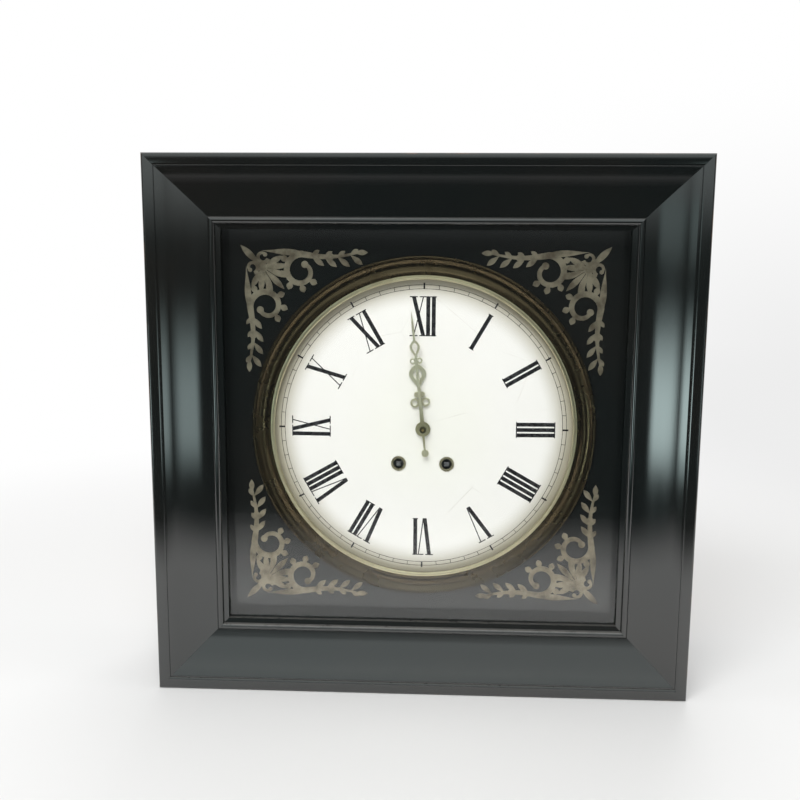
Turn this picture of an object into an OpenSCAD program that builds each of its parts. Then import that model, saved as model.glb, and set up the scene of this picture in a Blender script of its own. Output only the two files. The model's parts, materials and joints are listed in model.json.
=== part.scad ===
// Square wall clock: an ebonised case with a glazed front door, an inlaid panel, a round enamel
// dial and an eight-day striking movement with a short pendulum.
// X is to the right, -Y towards the viewer and Z up. The origin is the centre of the case's base.

/* [Case] */
// Outer width of the case and of its front door
case_w = 460; // [420:1:560]
// Outer height of the case and of its front door
case_h = 460; // [420:1:560]
// Depth of the case without the door
case_d = 100; // [98:1:140]
// Thickness of the top, bottom and side boards
board_t = 12; // [10:0.5:15]
// Thickness of the back board
back_t = 8; // [6:0.5:10]
// Depth of the rebates in which the boards meet
rebate = 6; // [4:0.5:8]

/* [Back door] */
// Width of the service door in the back board
hatch_w = 200; // [160:1:240]
// Height of the service door
hatch_h = 300; // [260:1:340]
// Thickness of the service door
hatch_t = 6; // [5:0.5:8]

/* [Front door] */
// Width of the moulded rails
rail_w = 60; // [50:1:66]
// Thickness of the door at its proud outer edge
rail_t = 32.5; // [26:0.5:36]
// Width of the flat border along the outer edge
border_w = 10; // [6:0.5:14]
// Thickness of the lip in front of the glass
lip_t = 4; // [3:0.5:6]
// Radius of the hollow moulding
cove_r = 150; // [90:1:250]
// Thickness of the glass
glass_t = 2; // [1.5:0.1:3]
// How far the glass reaches under the rails
glass_lap = 6; // [4:0.5:8]
// Gap between the door and the case
door_gap = 0.5; // [0.3:0.1:1]

/* [Panel and dial] */
// Thickness of the inlaid panel
panel_t = 10; // [8:0.5:12]
// How far the panel lies behind the front edge of the case
panel_set = 2; // [1.5:0.5:4]
// Section of the strips behind the panel
cleat_w = 12; // [8:1:16]
// Radius of the enamel dial
dial_r = 132; // [108:1:136]
// Rise of the dial from its rim to its centre
dial_rise = 3; // [1:0.5:4]
// Thickness of the dial
dial_t = 2.2; // [1.6:0.1:3]
// Width of the dark ring round the dial
bezel_w = 19; // [14:0.5:20]
// Height of that ring above the panel
bezel_h = 5; // [3:0.5:7]
// Radius of the winding holes
wind_hole_r = 5.5; // [5:0.1:7]
// Thickness of the inlaid corner scrolls above the panel
inlay_t = 0.8; // [0.5:0.1:1.5]
// Gap between the scrolls and the edge of the panel in sight
inlay_margin = 11; // [6:0.5:14]

/* [Movement] */
// Radius of the round plates
plate_r = 60; // [59:0.5:64]
// Thickness of the plates
plate_t = 3; // [2.5:0.1:4]
// Distance between the plates
plate_gap = 40; // [40:0.5:44]
// Distance between the dial's centre and the front plate, along the centre arbor
dial_space = 12.9; // [12.5:0.1:15]
// Sideways place of the two winding squares
wind_x = 21; // [21:0.1:22]
// How far the winding squares are below the centre
wind_drop = 31; // [30:0.5:32]
// Radius of the wheel arbors
arbor_r = 1; // [0.8:0.05:1]
// Radius of their pivots
pivot_r = 0.7; // [0.5:0.05:0.9]
// Radial gap of a pivot in its hole
run = 0.05; // [0.03:0.01:0.08]
// Gap at each end of an arbor
end_shake = 0.3; // [0.2:0.05:0.5]

/* [Hands] */
// Length of the minute hand from its centre
minute_len = 103; // [90:1:115]
// Length of the hour hand from its centre
hour_len = 60; // [54:1:80]
// Length of the minute hand's tail, to the middle of its disc
tail_len = 21; // [16:1:26]
// Thickness of the hands
hand_t = 1; // [0.6:0.1:1.2]
// Angle of the minute hand before twelve
minute_back = 6; // [0:1:30]
// Angle of the hour hand before twelve
hour_back = 6; // [0:1:30]

/* [Pendulum] */
// Distance from the suspension to the middle of the bob
bob_drop = 170; // [150:1:180]
// Radius of the bob
bob_r = 27; // [22:1:30]
// Thickness of the bob
bob_t = 12; // [8:1:14]
// Radius of the rod
rod_r = 1.2; // [0.8:0.1:1.5]
// Swing to each side, in degrees
swing = 3.5; // [2:0.5:4]

/* [Bell and fittings] */
// Radius of the bell
bell_r = 40; // [34:1:42]
// Depth of the bell
bell_d = 15; // [12:1:17]
// Wall of the bell
bell_t = 1.6; // [1.2:0.1:2]
// Radius of the hole in the hanging plate
hang_r = 5; // [4:0.5:6]
// Length of the hinges
hinge_len = 50; // [40:1:60]
// Radius of the hinge knuckles
knuckle_r = 1.8; // [1.6:0.1:2]
// Distance of the hinges from the corners of the case
hinge_inset = 70; // [50:1:90]

/* [Hidden] */
$fn = 64;

// Colours
EBONY = [0.05, 0.045, 0.045];
PINE = [0.55, 0.42, 0.28];
BRASS = [0.78, 0.62, 0.32];
DARK_BRASS = [0.25, 0.2, 0.12];
STEEL = [0.55, 0.56, 0.58];
ENAMEL = [0.96, 0.95, 0.91];
GLASS = [0.8, 0.88, 0.9, 0.35];

// Planes of the case, from front to back
front_y = -case_d / 2;
back_y = case_d / 2;
door_back_y = front_y - door_gap;
panel_y = front_y + panel_set;
panel_back_y = panel_y + panel_t;
board_front_y = back_y - back_t;
inner_w = case_w - 2 * board_t;
fit_gap = 0.2;
seat_gap = 0.02;
board_fit = rebate - fit_gap;

// Planes of the door
lip_h = 15.5;
glass_front_h = lip_h - lip_t;
glass_back_h = glass_front_h - glass_t;
sight_w = case_w - 2 * rail_w;
sight_h = case_h - 2 * rail_w;
step_w = 2;
step_h = 2;
bead_r = 3;
bead_up = 0.6;
edge_r = 2;
cove_from = border_w + step_w;
cove_to = rail_w - 2 * bead_r - 4;
cove_top = rail_t - step_h;
cove_low = lip_h + 2;
cove_chord = norm([cove_to - cove_from, cove_top - cove_low]);
cove_lean = atan2(cove_low - cove_top, cove_to - cove_from);
cove_rise = sqrt(cove_r * cove_r - cove_chord * cove_chord / 4);
cove_middle = [(cove_from + cove_to) / 2, (cove_top + cove_low) / 2];
cove_centre = cove_middle + cove_rise * [-sin(cove_lean), cos(cove_lean)];
bead_depth = 6;

// Planes of the dial and the movement
dial_z = case_h / 2;
dome_steps = 12;
grommet_w = 1;
grommet_up = 0.6;
grommet_gap = 0.15;
bar_t = 3.5;
plate_y = panel_back_y + bar_t;
gap_y = plate_y + plate_t;
rear_y = gap_y + plate_gap;
rear_back_y = rear_y + plate_t;
dial_face_y = plate_y - dial_space - dial_t;
dial_rim_y = dial_face_y + dial_rise;
opening_r = dial_r + 1;
bezel_in_r = dial_r - 2;
bezel_hollow_at = 0.62;
bezel_hollow_r = 0.72;
ring_w = 2.5;
ring_seat = 1.5;
ring_over = 1.5;
ring_bead_r = 1.2;
bar_z = 46;
bar_h = 10;
bar_len = 2 * opening_r + 40;
bar_screw_x = opening_r + 5;
plate_screw_x = 26;
foot_r = 1.5;
foot_at = 34;
foot_sunk = 0.5;
foot_over = 1.2;
screw_r = 1.5;
head_r = 2.8;
head_t = 1.4;

// Corner scrolls, in each corner's own frame. Places along a scroll are given on its path.
scroll_eye = [54, 24];
scroll_r = 14.5;
scroll_end_r = 6.5;
scroll_turns = 0.92;
scroll_run = [50, -1.5];
root_half = 2.8;
end_half = 1.7;
tip_half = 0.6;
scroll_steps = 22;
scroll_lobes = [0.14, 0.27, 0.4, 0.53, 0.66];
lobe_len = 8.5;
lobe_w = 5.5;
lobe_lean = 28;
tendril_bow = 3;
tendril_steps = 10;
tendril_leaves = [-0.17, -0.39, -0.61, -0.83];
tendril_bud = -0.5;
outer_leaf_len = 14;
outer_leaf_w = 4.6;
outer_leaf_turn = 38;
inner_leaf_len = 8.5;
inner_leaf_w = 3.6;
inner_leaf_turn = 32;
tip_leaf_len = 13;
tip_leaf_back = 6;
root_leaf_len = 38;
leaf_steps = 8;
bud_r = 3;
volute_eye = [21, 12];
volute_r = 5.2;
volute_end_r = 2.9;
volute_half = 1.6;
volute_from = 20;
volute_turn = 300;
volute_bud_r = 1.8;
volute_steps = 12;
palmette_at = [21, 21];
palmette_len = 26;
palmette_hub_r = 4;
palmette_angles = [-75, -50, -25, 0, 25, 50, 75];
petal_w = 5.2;
stalk_len = 26.5;

// Back of the case: hanging plate, service door and its turn button
hanger_w = 50;
hanger_h = 34;
hanger_t = 2;
hanger_corner_r = 4;
hanger_z = case_h - 32;
hang_room = 4;
HANGER_SCREWS = [for (s = [-1, 1]) [s * 17, hanger_z + 8]];
hatch_z = dial_z - 20;
hatch_gap = 0.5;
hatch_x = hatch_w / 2;
button_at = [-hatch_x - 9, hatch_z];
button_len = 30;
button_r = 4;
button_boss_r = 3;
button_from = 0.3;
button_t = 2.2;
screw_depth = 6;

// Hinges, and the catch of the front door
leaf_w = 11;
leaf_t = 1;
pin_r = 0.9;
knuckle_gap = 0.3;
front_axis = [case_w / 2 + knuckle_r + 0.1, front_y - door_gap / 2];
back_axis = [hatch_x + hatch_gap / 2, back_y + 0.2];
back_hinge_inset = 45;
catch_h = 26;
catch_margin = 1;
peg_r = 2.4;
peg_tip_r = 1.6;
peg_len = 7;
peg_root = 5;
peg_x = -case_w / 2 + board_t / 2;

// Wheels: numbers of teeth and modules
great_n = 50;
great_m = 0.8;
second_pinion_n = 10;
second_n = 60;
second_m = 0.6;
centre_pinion_n = 10;
train_m = 0.5;
centre_n = 72;
leaf_n = 6;
third_n = 60;
escape_n = 36;
escape_span = 9.5;
strike_second_n = 72;
pin_pinion_n = 8;
pin_n = 60;
lifting_pins = 10;
locking_n = 48;
cannon_n = 20;
minute_n = 60;
minute_pinion_n = 15;
hour_n = 60;
motion_m = 0.5;
hour_m = motion_m * (cannon_n + minute_n) / (minute_pinion_n + hour_n);

// Heights of the wheels behind the front plate
drum_from = 4.3;
great_from = 20;
great_thick = 2.5;
second_from = 27;
strike_second_from = 30;
centre_from = 33;
third_from = 8;
escape_from = 20;
pin_from = 14;
locking_from = 26;
fly_from = 5;
fly_len = 8;
fly_tube = 0.5;
vane_w = 8;
vane_t = 0.6;
wheel_thick = 1.2;
wheel_root = 1.15;
wheel_rim = 1.3;
wheel_hub_r = 3.2;
wheel_arms = 5;
wheel_arm_w = 1.8;
pinion_over = 0.5;
drum_r = 18;
drum_wall = 1.2;
winding_r = 2.6;
spring_arbor_r = 3;
rear_winding_r = 2;

// Places of the arbors, as x and z from the dial's centre
function polar(r, a) = [r * cos(a), r * sin(a)];
function gap_of(n1, n2, m) = m * (n1 + n2) / 2;
function bearing(p, q) = atan2(q[1] - p[1], q[0] - p[0]);
centre_at = [0, 0];
going_at = [wind_x, -wind_drop];
strike_at = [-wind_x, -wind_drop];
great_reach = gap_of(great_n, second_pinion_n, great_m);
second_reach = gap_of(second_n, centre_pinion_n, second_m);
going_reach = norm(going_at);
second_turn = acos((pow(second_reach, 2) + pow(going_reach, 2) - pow(great_reach, 2))
    / (2 * second_reach * going_reach));
second_at = polar(second_reach, bearing(centre_at, going_at) + second_turn);
third_at = polar(gap_of(centre_n, leaf_n, train_m), 66);
escape_at = third_at + polar(gap_of(third_n, leaf_n, train_m), 152);
pallet_at = [0, 40];
strike_second_at = [-second_at[0], second_at[1]];
pin_at = strike_second_at + polar(gap_of(strike_second_n, pin_pinion_n, train_m), 120);
locking_at = pin_at + polar(gap_of(pin_n, leaf_n, train_m), 75);
fly_at = locking_at + polar(gap_of(locking_n, leaf_n, train_m), 80);
hammer_at = [-52, 15];
minute_at = [0, gap_of(cannon_n, minute_n, motion_m)];
FRONT_PIVOTS = [
    second_at, third_at, escape_at, pallet_at, strike_second_at, pin_at, locking_at, fly_at, hammer_at
];
REAR_PIVOTS = [centre_at, second_at, third_at, escape_at, pin_at, locking_at, fly_at];
THROUGH_ARBORS = [pallet_at, strike_second_at, hammer_at];
PILLARS = [for (a = [0, 48, 146, 180, 270]) polar(plate_r - 6, a)];
pillar_r = 3;
pillar_waist = 0.6;
pillar_collar = 5;
plate_nut_r = 3.4;
plate_nut_t = 2.5;
nut_over = 3.2;
FEET = [for (x = [-foot_at, foot_at], z = [-foot_at, foot_at]) [x, z]];
PLATE_SCREWS = [for (x = [-plate_screw_x, plate_screw_x], z = [-bar_z, bar_z]) [x, z]];
BAR_SCREWS = [for (x = [-bar_screw_x, bar_screw_x], z = [-bar_z, bar_z]) [x, z]];

// Motion work in front of the front plate
cannon_y = plate_y - 0.7;
motion_stud = 6;
motion_thick = 1.2;
cannon_thick = 1.6;
motion_gap = 0.2;
motion_rim = 2;
motion_hub_r = 5;
motion_arms = 4;
motion_arm_w = 2;
minute_pinion_over = 0.5;
arbor_over = 0.6;
hour_wheel_y = cannon_y - 3;
cannon_r = 2;
hour_pipe_r = 3.2;
centre_hole_r = 4;
hour_hand_y = dial_face_y - 1;
minute_hand_y = hour_hand_y - hand_t - 1.6;
nut_y = minute_hand_y - hand_t;
nut_t = 2.2;
nut_r = 2.9;
hour_hub_r = 6.5;
hour_blade_w = 3.6;
hour_ring_at = 23.5;
hour_ring_x = 4.6;
hour_ring_r = 4;
hour_ring_hole_r = 2.3;
ring_hole_out = 0.2;
hour_bud_at = 30.5;
hour_bud_r = 2.4;
hour_leaf_from = 35;
hour_leaf_below = 2.4;
hour_leaf_w = 15;
piercing = [0.22, 0.84, 0.52];
minute_hub_r = 5;
minute_blade_w = 3;
minute_ring_at = 60;
minute_ring_x = 2.9;
minute_ring_r = 2.6;
minute_ring_hole_r = 1.3;
minute_leaf_from = 62;
minute_leaf_to = 78.5;
minute_leaf_w = 9;
tail_blade_w = 2.4;
tail_disc_r = 3.2;
ratchet_r = 9;
ratchet_n = 16;
ratchet_y = plate_y - 0.6;
ratchet_thick = 1.8;
ratchet_depth = 1.4;
ratchet_slope = 0.85;
click_reach = 14;
click_turn = 15;
click_stand_off = 0.35;
click_nose_turn = 50;
click_nose_r = 0.7;
square_w = 4;
square_up = 0.2;
winding_neck = 6;
barrel_over = 2;
stud_r = 1;
click_pivot = going_at + polar(click_reach, click_turn);
click_nose = going_at + polar(ratchet_r + click_stand_off + click_nose_r, click_nose_turn);
click_len = norm(click_nose - click_pivot);
click_eye_r = 2.6;
click_root = 2;
click_tip = 0.4;

// Escapement and pendulum
escape_tooth = 1.8;
escape_rim = 1.2;
escape_hub_r = 2.6;
escape_arm_w = 1.4;
escape_t = 1;
anchor_r = 2.6;
anchor_over = 0.4;
pallet_h = 3.6;
pallet_back_h = 4;
pallet_nib = 1.12;
pallet_back = 1.16;
pallet_reach = norm(pallet_at - escape_at);
escape_r = pallet_reach * cos(180 * escape_span / escape_n);
pallet_arm = pallet_reach * sin(180 * escape_span / escape_n);
pallet_gap = 0.3 + pallet_arm * sin(swing);
crutch_y = rear_back_y + 3;
pendulum_y = rear_back_y + 6.5;
crutch_drop = 32;
crutch_t = 1;
crutch_w = 2;
crutch_z = pallet_at[1] - crutch_drop;
fork_gap = 0.3;
fork_w = 2;
fork_h = 4;
fork_over = 3;
cock_from = 4;
cock_z = pallet_at[1] + cock_from;
cock_top = 12;
cock_pin_r = 0.6;
cock_pin_up = 3;
cock_pin_z = cock_z + cock_pin_up;
cock_pin_len = 8;
cock_w = 20;
cock_t = 2;
cheek_gap = 1;
cheek_w = 4.5;
cheek_over = 4;
spring_w = 4;
spring_t = 0.3;
spring_foot = 12;
spring_up = 5;
bob_edge = 2;
bob_nut_r = 4;
bob_nut_gap = 2;
bob_nut_h = 4;
rod_over = 12;
rod_head_w = 4;
rod_head_h = 5;
lens_r = (bob_r * bob_r + pow((bob_t - bob_edge) / 2, 2)) / (bob_t - bob_edge);

// Striking work and bell
count_r = 17;
count_y = rear_back_y + 1.1;
count_slots = 90;
slot_w = 1.8;
slot_d = 2;
count_rim = 3;
count_hub_r = 4;
count_arms = 4;
count_arm_w = 2.5;
count_over = 0.8;
pin_inset = 1.4;
lift_r = pin_n * train_m / 2 - pin_inset;
lift_pin_r = 0.5;
lift_pin_len = 3.8;
locking_pin_len = 3;
lift_gap = 0.4;
bell_rim_y = pendulum_y + 5.5;
bell_top_y = bell_rim_y + bell_d;
bell_wall_r = (bell_r * bell_r + bell_d * bell_d) / (2 * bell_d);
stand_at = [17, 11];
hammer_r = 4;
hammer_gap = 0.6;
head_at = polar(bell_r + hammer_gap + hammer_r, 132);
hammer_tail = norm(hammer_at - pin_at) - lift_r - lift_pin_r - lift_gap;
arm_y = rear_back_y + 3.5;
arm_t = 1.6;
arm_w = 2.2;
arm_boss = 2;
hammer_boss_r = 2.4;
tail_from = pin_from + 2.3;
tail_t = 1.9;
tail_w = 1.6;
head_stem_r = 1.5;
head_len = 8;
strap_from = 3;
strap_t = 2;
strap_w = 4.4;
stand_r = 2.2;
stand_foot_r = 4;
bell_stem_r = 2;
bell_washer_r = 3.5;
bell_seat = 0.15;

// Drawing helpers
module at_dial() translate([0, 0, dial_z]) children();
module along_y(y0, y1) translate([0, y1, 0]) rotate([90, 0, 0]) linear_extrude(y1 - y0) children();
module spot(p) translate([p[0], 0, p[1]]) children();
module round_bar(r, y0, y1) translate([0, y1, 0]) rotate([90, 0, 0]) cylinder(r = r, h = y1 - y0);
module from_plate(t0, t1) along_y(gap_y + t0, gap_y + t1) children();
module turned(y0) translate([0, y0, 0]) rotate([90, 0, 0]) rotate_extrude($fn = 128) children();
module block(lo, hi) translate(lo) cube(hi - lo);
// A flat strip of one width that starts at p and points towards q
module strip(p, q, length, w) translate(p) rotate(bearing(p, q)) translate([0, -w / 2]) square([length, w]);

// Toothed outline with tooth 0 pointing along the angle turn. Wheels have low teeth, pinions long leaves.
module toothed(n, m, turn, tip, root, half_tip, half_root) {
    pitch = 360 / n;
    rotate(turn) polygon([
        for (i = [0:n - 1], k = [0:3])
            let (outer = k == 1 || k == 2, side = k < 2 ? -1 : 1)
            let (reach = outer ? tip : -root, half = outer ? half_tip : half_root)
                polar(n * m / 2 + reach * m, pitch * (i + side * half))
    ]);
}
module wheel_teeth(n, m, turn) toothed(n, m, turn, 0.8, wheel_root, 0.1, 0.26);
module pinion_leaves(n, m, turn) toothed(n, m, turn, 0.5, 1.5, 0.12, 0.2);
module arm_windows(r_out, r_in, arms, arm_w) difference() {
    circle(r_out);
    circle(r_in);
    for (i = [0:arms - 1]) rotate(i * 360 / arms) translate([0, -arm_w / 2]) square([r_out + 1, arm_w]);
}
module train_wheel(n, m, turn, t0) from_plate(t0, t0 + wheel_thick) difference() {
    wheel_teeth(n, m, turn);
    arm_windows(n * m / 2 - wheel_root * m - wheel_rim, wheel_hub_r, wheel_arms, wheel_arm_w);
}
// A pinion whose gap faces the wheel that lies in the direction toward
module train_pinion(n, m, toward, t0, thick = wheel_thick)
    from_plate(t0 - pinion_over, t0 + thick + pinion_over) pinion_leaves(n, m, toward + 180 / n);
module arbor(r = arbor_r, rear = plate_gap - end_shake) union() {
    round_bar(r, gap_y + end_shake, gap_y + rear);
    round_bar(pivot_r, gap_y - plate_t + end_shake, gap_y + end_shake);
    round_bar(pivot_r, gap_y + rear, rear_back_y - end_shake);
}

// Case boards. The pocket of the back board and the rebates of the corners are cut from each.
module back_pocket() block([-inner_w / 2 - rebate, board_front_y, board_t - rebate],
    [inner_w / 2 + rebate, back_y + 1, case_h - board_t + rebate]);
module flat_board() difference() {
    block([-case_w / 2, front_y, 0], [case_w / 2, back_y, board_t]);
    for (s = [-1, 1]) scale([s, 1, 1])
        block([case_w / 2 - board_t, front_y - 1, rebate], [case_w / 2 + 1, back_y + 1, board_t + 1]);
    back_pocket();
}
module case_bottom() color(EBONY) flat_board();
module case_top() color(EBONY) translate([0, 0, case_h]) mirror([0, 0, 1]) flat_board();
module side_board() difference() {
    block([case_w / 2 - board_t, front_y, rebate], [case_w / 2, back_y, case_h - rebate]);
    back_pocket();
}
module case_right() color(EBONY) difference() {
    side_board();
    for (z = front_hinges()) block([case_w / 2 - leaf_w, front_y - 1, z - hinge_len / 2],
        [case_w / 2 + 1, front_y + leaf_t, z + hinge_len / 2]);
}
module catch_block(y0) block(
    [-case_w / 2 + catch_margin, y0, dial_z - catch_h / 2],
    [-case_w / 2 + board_t - catch_margin, front_y + leaf_t, dial_z + catch_h / 2]
);
module case_left() color(EBONY) difference() {
    mirror([1, 0, 0]) side_board();
    catch_block(front_y - 1);
    translate([peg_x, 0, dial_z]) round_bar(peg_r + fit_gap, front_y - 1, front_y + peg_len + 1);
}

// Strips behind the panel, glued to the boards
module panel_cleats() color(PINE) difference() {
    block([-inner_w / 2, panel_back_y, board_t], [inner_w / 2, panel_back_y + cleat_w, case_h - board_t]);
    block([-inner_w / 2 + cleat_w, panel_back_y - 1, board_t + cleat_w],
        [inner_w / 2 - cleat_w, panel_back_y + cleat_w + 1, case_h - board_t - cleat_w]);
}
module dial_panel() color(EBONY) difference() {
    block([-inner_w / 2 + fit_gap, panel_y, board_t + fit_gap],
        [inner_w / 2 - fit_gap, panel_back_y, case_h - board_t - fit_gap]);
    at_dial() turned(panel_back_y + 1) square([opening_r, panel_t + 2]);
    at_dial() for (p = BAR_SCREWS) spot(p) round_bar(screw_r, panel_back_y - screw_depth, panel_back_y + 1);
}

// Corner scrolls. Half of a corner is drawn along one edge, and mirrored about the diagonal.
// The main scroll's path runs from the tendril's tip, at -1, to the scroll's root, at 0, and its end, at 1.
function scroll_bearing(s) = -90 - 360 * scroll_turns * s;
function scroll_path(s) = s < 0
    ? scroll_eye - [0, scroll_r] - s * scroll_run + [0, tendril_bow * sin(-180 * s)]
    : scroll_eye + polar(scroll_r + (scroll_end_r - scroll_r) * s, scroll_bearing(s));
function scroll_half(s) = s < 0
    ? tip_half + (root_half - tip_half) * (1 + s)
    : root_half + (end_half - root_half) * s;
function scroll_side(s, side) =
    let (p = scroll_path(s - 0.01), q = scroll_path(s + 0.01), d = (q - p) / norm(q - p))
        scroll_path(s) + side * scroll_half(s) * [-d[1], d[0]];
scroll_stops = concat(
    [for (i = [tendril_steps:-1:1]) -i / tendril_steps],
    [for (i = [0:scroll_steps]) i / scroll_steps]
);
scroll_last = len(scroll_stops) - 1;
scroll_outline = concat(
    [for (s = scroll_stops) scroll_side(s, -1)],
    [for (i = [scroll_last:-1:0]) scroll_side(scroll_stops[i], 1)]
);
// A pointed leaf along X, widest a little beyond its middle
function leaf_side(len, w, side) = [for (i = [0:leaf_steps])
    [len * i / leaf_steps, side * w / 2 * sin(180 * pow(i / leaf_steps, 1.4))]];
module leaf(len, w) polygon(concat(
    leaf_side(len, w, -1),
    [for (i = [leaf_steps - 1:-1:1]) leaf_side(len, w, 1)[i]]
));
// A small band that rolls up to its own bud
function volute_path_r(s) = volute_r + (volute_end_r - volute_r) * s;
function volute_point(s, side) = volute_eye
    + polar(volute_path_r(s) + side * (volute_half - 0.5 * s), volute_from + volute_turn * s);
module volute() {
    polygon(concat(
        [for (i = [0:volute_steps]) volute_point(i / volute_steps, 1)],
        [for (i = [volute_steps:-1:0]) volute_point(i / volute_steps, -1)]
    ));
    translate(volute_eye + polar(volute_end_r, volute_from + volute_turn)) circle(volute_bud_r, $fn = 24);
}
module half_corner() {
    polygon(scroll_outline);
    translate(scroll_path(1)) circle(bud_r, $fn = 32);
    for (s = scroll_lobes) translate(scroll_path(s))
        rotate(scroll_bearing(s) - lobe_lean) leaf(lobe_len, lobe_w);
    for (s = tendril_leaves) translate(scroll_path(s)) {
        rotate(outer_leaf_turn) leaf(outer_leaf_len, outer_leaf_w);
        rotate(-inner_leaf_turn) leaf(inner_leaf_len, inner_leaf_w);
    }
    translate(scroll_path(tendril_bud)) circle(bud_r, $fn = 32);
    translate(scroll_path(-1) - [tip_leaf_back, 0]) leaf(tip_leaf_len, outer_leaf_w);
    volute();
    translate(volute_eye - [1, volute_r]) rotate(3) leaf(root_leaf_len, lobe_w);
}
module corner_scrolls() {
    half_corner();
    mirror([1, -1]) half_corner();
    for (a = palmette_angles) translate(palmette_at)
        rotate(45 + a) leaf(palmette_len - abs(a) / 12, petal_w);
    translate(palmette_at) circle(palmette_hub_r, $fn = 32);
    translate(palmette_at) rotate(225) leaf(stalk_len, lobe_w);
}
module corner_ornaments() color(BRASS) at_dial() along_y(panel_y - inlay_t, panel_y)
    for (sx = [-1, 1], sz = [-1, 1]) mirror([sx > 0 ? 1 : 0, 0]) mirror([0, sz > 0 ? 1 : 0])
        translate([-sight_w / 2 + inlay_margin, -sight_h / 2 + inlay_margin]) corner_scrolls();

// Dark ring with a hollow front, and the bright ring in its edge
module dial_bezel() color(DARK_BRASS) at_dial() turned(panel_y) difference() {
    translate([bezel_in_r, 0]) square([bezel_w, bezel_h]);
    translate([bezel_in_r, bezel_h] + bezel_w * bezel_hollow_at * [1, 1])
        circle(bezel_w * bezel_hollow_r, $fn = 96);
    translate([bezel_in_r - 1, bezel_h - ring_seat]) square([1 + ring_w, ring_seat + 1]);
}
module sight_ring() color(BRASS) at_dial() turned(panel_y - bezel_h + ring_seat) union() {
    translate([bezel_in_r - ring_over, 0]) square([ring_w + ring_over, 1]);
    translate([bezel_in_r, ring_bead_r]) circle(ring_bead_r, $fn = 32);
}

// Domed dial, with feet that reach through the front plate
function dome_y(r) = dial_rise * (1 - r * r / (dial_r * dial_r));
function dome_r(i) = centre_hole_r + (dial_r - centre_hole_r) * i / dome_steps;
module dial() color(ENAMEL) at_dial() union() {
    difference() {
        turned(dial_rim_y + dial_t) polygon(concat(
            [for (i = [0:dome_steps]) [dome_r(i), dome_y(dome_r(i)) + dial_t]],
            [for (i = [dome_steps:-1:0]) [dome_r(i), dome_y(dome_r(i))]]
        ));
        for (p = [going_at, strike_at]) spot(p) round_bar(wind_hole_r, dial_face_y - 5, plate_y);
    }
    for (p = FEET) spot(p)
        round_bar(foot_r, dial_rim_y - dome_y(norm(p)) + dial_t - foot_sunk, gap_y + foot_over);
}
module winding_grommets() color(BRASS) at_dial() for (p = [going_at, strike_at])
    spot(p) turned(dial_rim_y - dome_y(norm(p)) + dial_t) difference() {
        union() {
            square([wind_hole_r, dial_t + grommet_up]);
            translate([0, dial_t + grommet_gap])
                square([wind_hole_r + grommet_w, grommet_up - grommet_gap]);
        }
        translate([0, -1]) square([wind_hole_r - grommet_w, dial_t + grommet_up + 2]);
    }

// Iron bars across the opening carry the movement
module movement_bars() color(STEEL) at_dial() difference() {
    for (s = [-1, 1]) translate([0, 0, s * bar_z])
        block([-bar_len / 2, panel_back_y, -bar_h / 2], [bar_len / 2, plate_y, bar_h / 2]);
    for (p = concat(BAR_SCREWS, PLATE_SCREWS)) spot(p) round_bar(screw_r, panel_back_y - 1, plate_y + 1);
}
module screw(y0, y1) {
    round_bar(screw_r, y0, y1);
    round_bar(head_r, y1, y1 + head_t);
}
module wood_screws() color(STEEL) {
    at_dial() for (p = BAR_SCREWS) spot(p) screw(panel_back_y - screw_depth, plate_y);
    for (p = HANGER_SCREWS) spot(p) screw(back_y - screw_depth, back_y + hanger_t);
}

// Back board with the opening of the service door, a pocket behind the hanging hole and hinge grooves
module hinge_groove() for (z = back_hinges())
    translate([back_axis[0], back_axis[1], z - hinge_len / 2 - knuckle_gap])
        cylinder(r = knuckle_r + knuckle_gap, h = hinge_len + 2 * knuckle_gap);
// Room for one leaf of each hinge of the service door. It lies on the side given by side.
module back_leaf_room(side) for (z = back_hinges())
    block([min(back_axis[0], back_axis[0] + side * leaf_w), back_y - leaf_t, z - hinge_len / 2],
        [max(back_axis[0], back_axis[0] + side * leaf_w), back_y + 1, z + hinge_len / 2]);
module back_board() color(PINE) difference() {
    block([-inner_w / 2 - board_fit, board_front_y, board_t - board_fit],
        [inner_w / 2 + board_fit, back_y, case_h - board_t + board_fit]);
    block([-hatch_x - hatch_gap, board_front_y - 1, hatch_z - hatch_h / 2 - hatch_gap],
        [hatch_x + hatch_gap, back_y + 1, hatch_z + hatch_h / 2 + hatch_gap]);
    hinge_groove();
    back_leaf_room(1);
    for (p = HANGER_SCREWS) spot(p) round_bar(screw_r, back_y - screw_depth, back_y + 1);
    spot([0, hanger_z]) round_bar(hang_r + hang_room, board_front_y - 1, back_y + 1);
    spot(button_at) round_bar(screw_r, back_y - screw_depth + 1, back_y + 1);
}
module hanger_plate() color(BRASS) difference() {
    along_y(back_y, back_y + hanger_t) translate([0, hanger_z]) hull() for (x = [-1, 1], z = [-1, 1])
        translate([x * (hanger_w / 2 - hanger_corner_r), z * (hanger_h / 2 - hanger_corner_r)])
            circle(hanger_corner_r, $fn = 32);
    spot([0, hanger_z]) round_bar(hang_r, back_y - 1, back_y + hanger_t + 1);
    for (p = HANGER_SCREWS) spot(p) round_bar(screw_r, back_y - 1, back_y + hanger_t + 1);
}
module back_door() color(PINE) difference() {
    block([-hatch_x, back_y - hatch_t, hatch_z - hatch_h / 2], [hatch_x, back_y, hatch_z + hatch_h / 2]);
    hinge_groove();
    back_leaf_room(-1);
}
module turn_button() color(BRASS) spot(button_at) union() {
    along_y(back_y + button_from, back_y + button_from + button_t) hull() for (s = [-1, 1])
        translate([0, s * (button_len / 2 - button_r)]) circle(button_r, $fn = 32);
    round_bar(button_boss_r, back_y + button_from, back_y + button_from + button_t + 1);
    round_bar(screw_r - run, back_y - screw_depth + 1, back_y + button_from);
}

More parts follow.
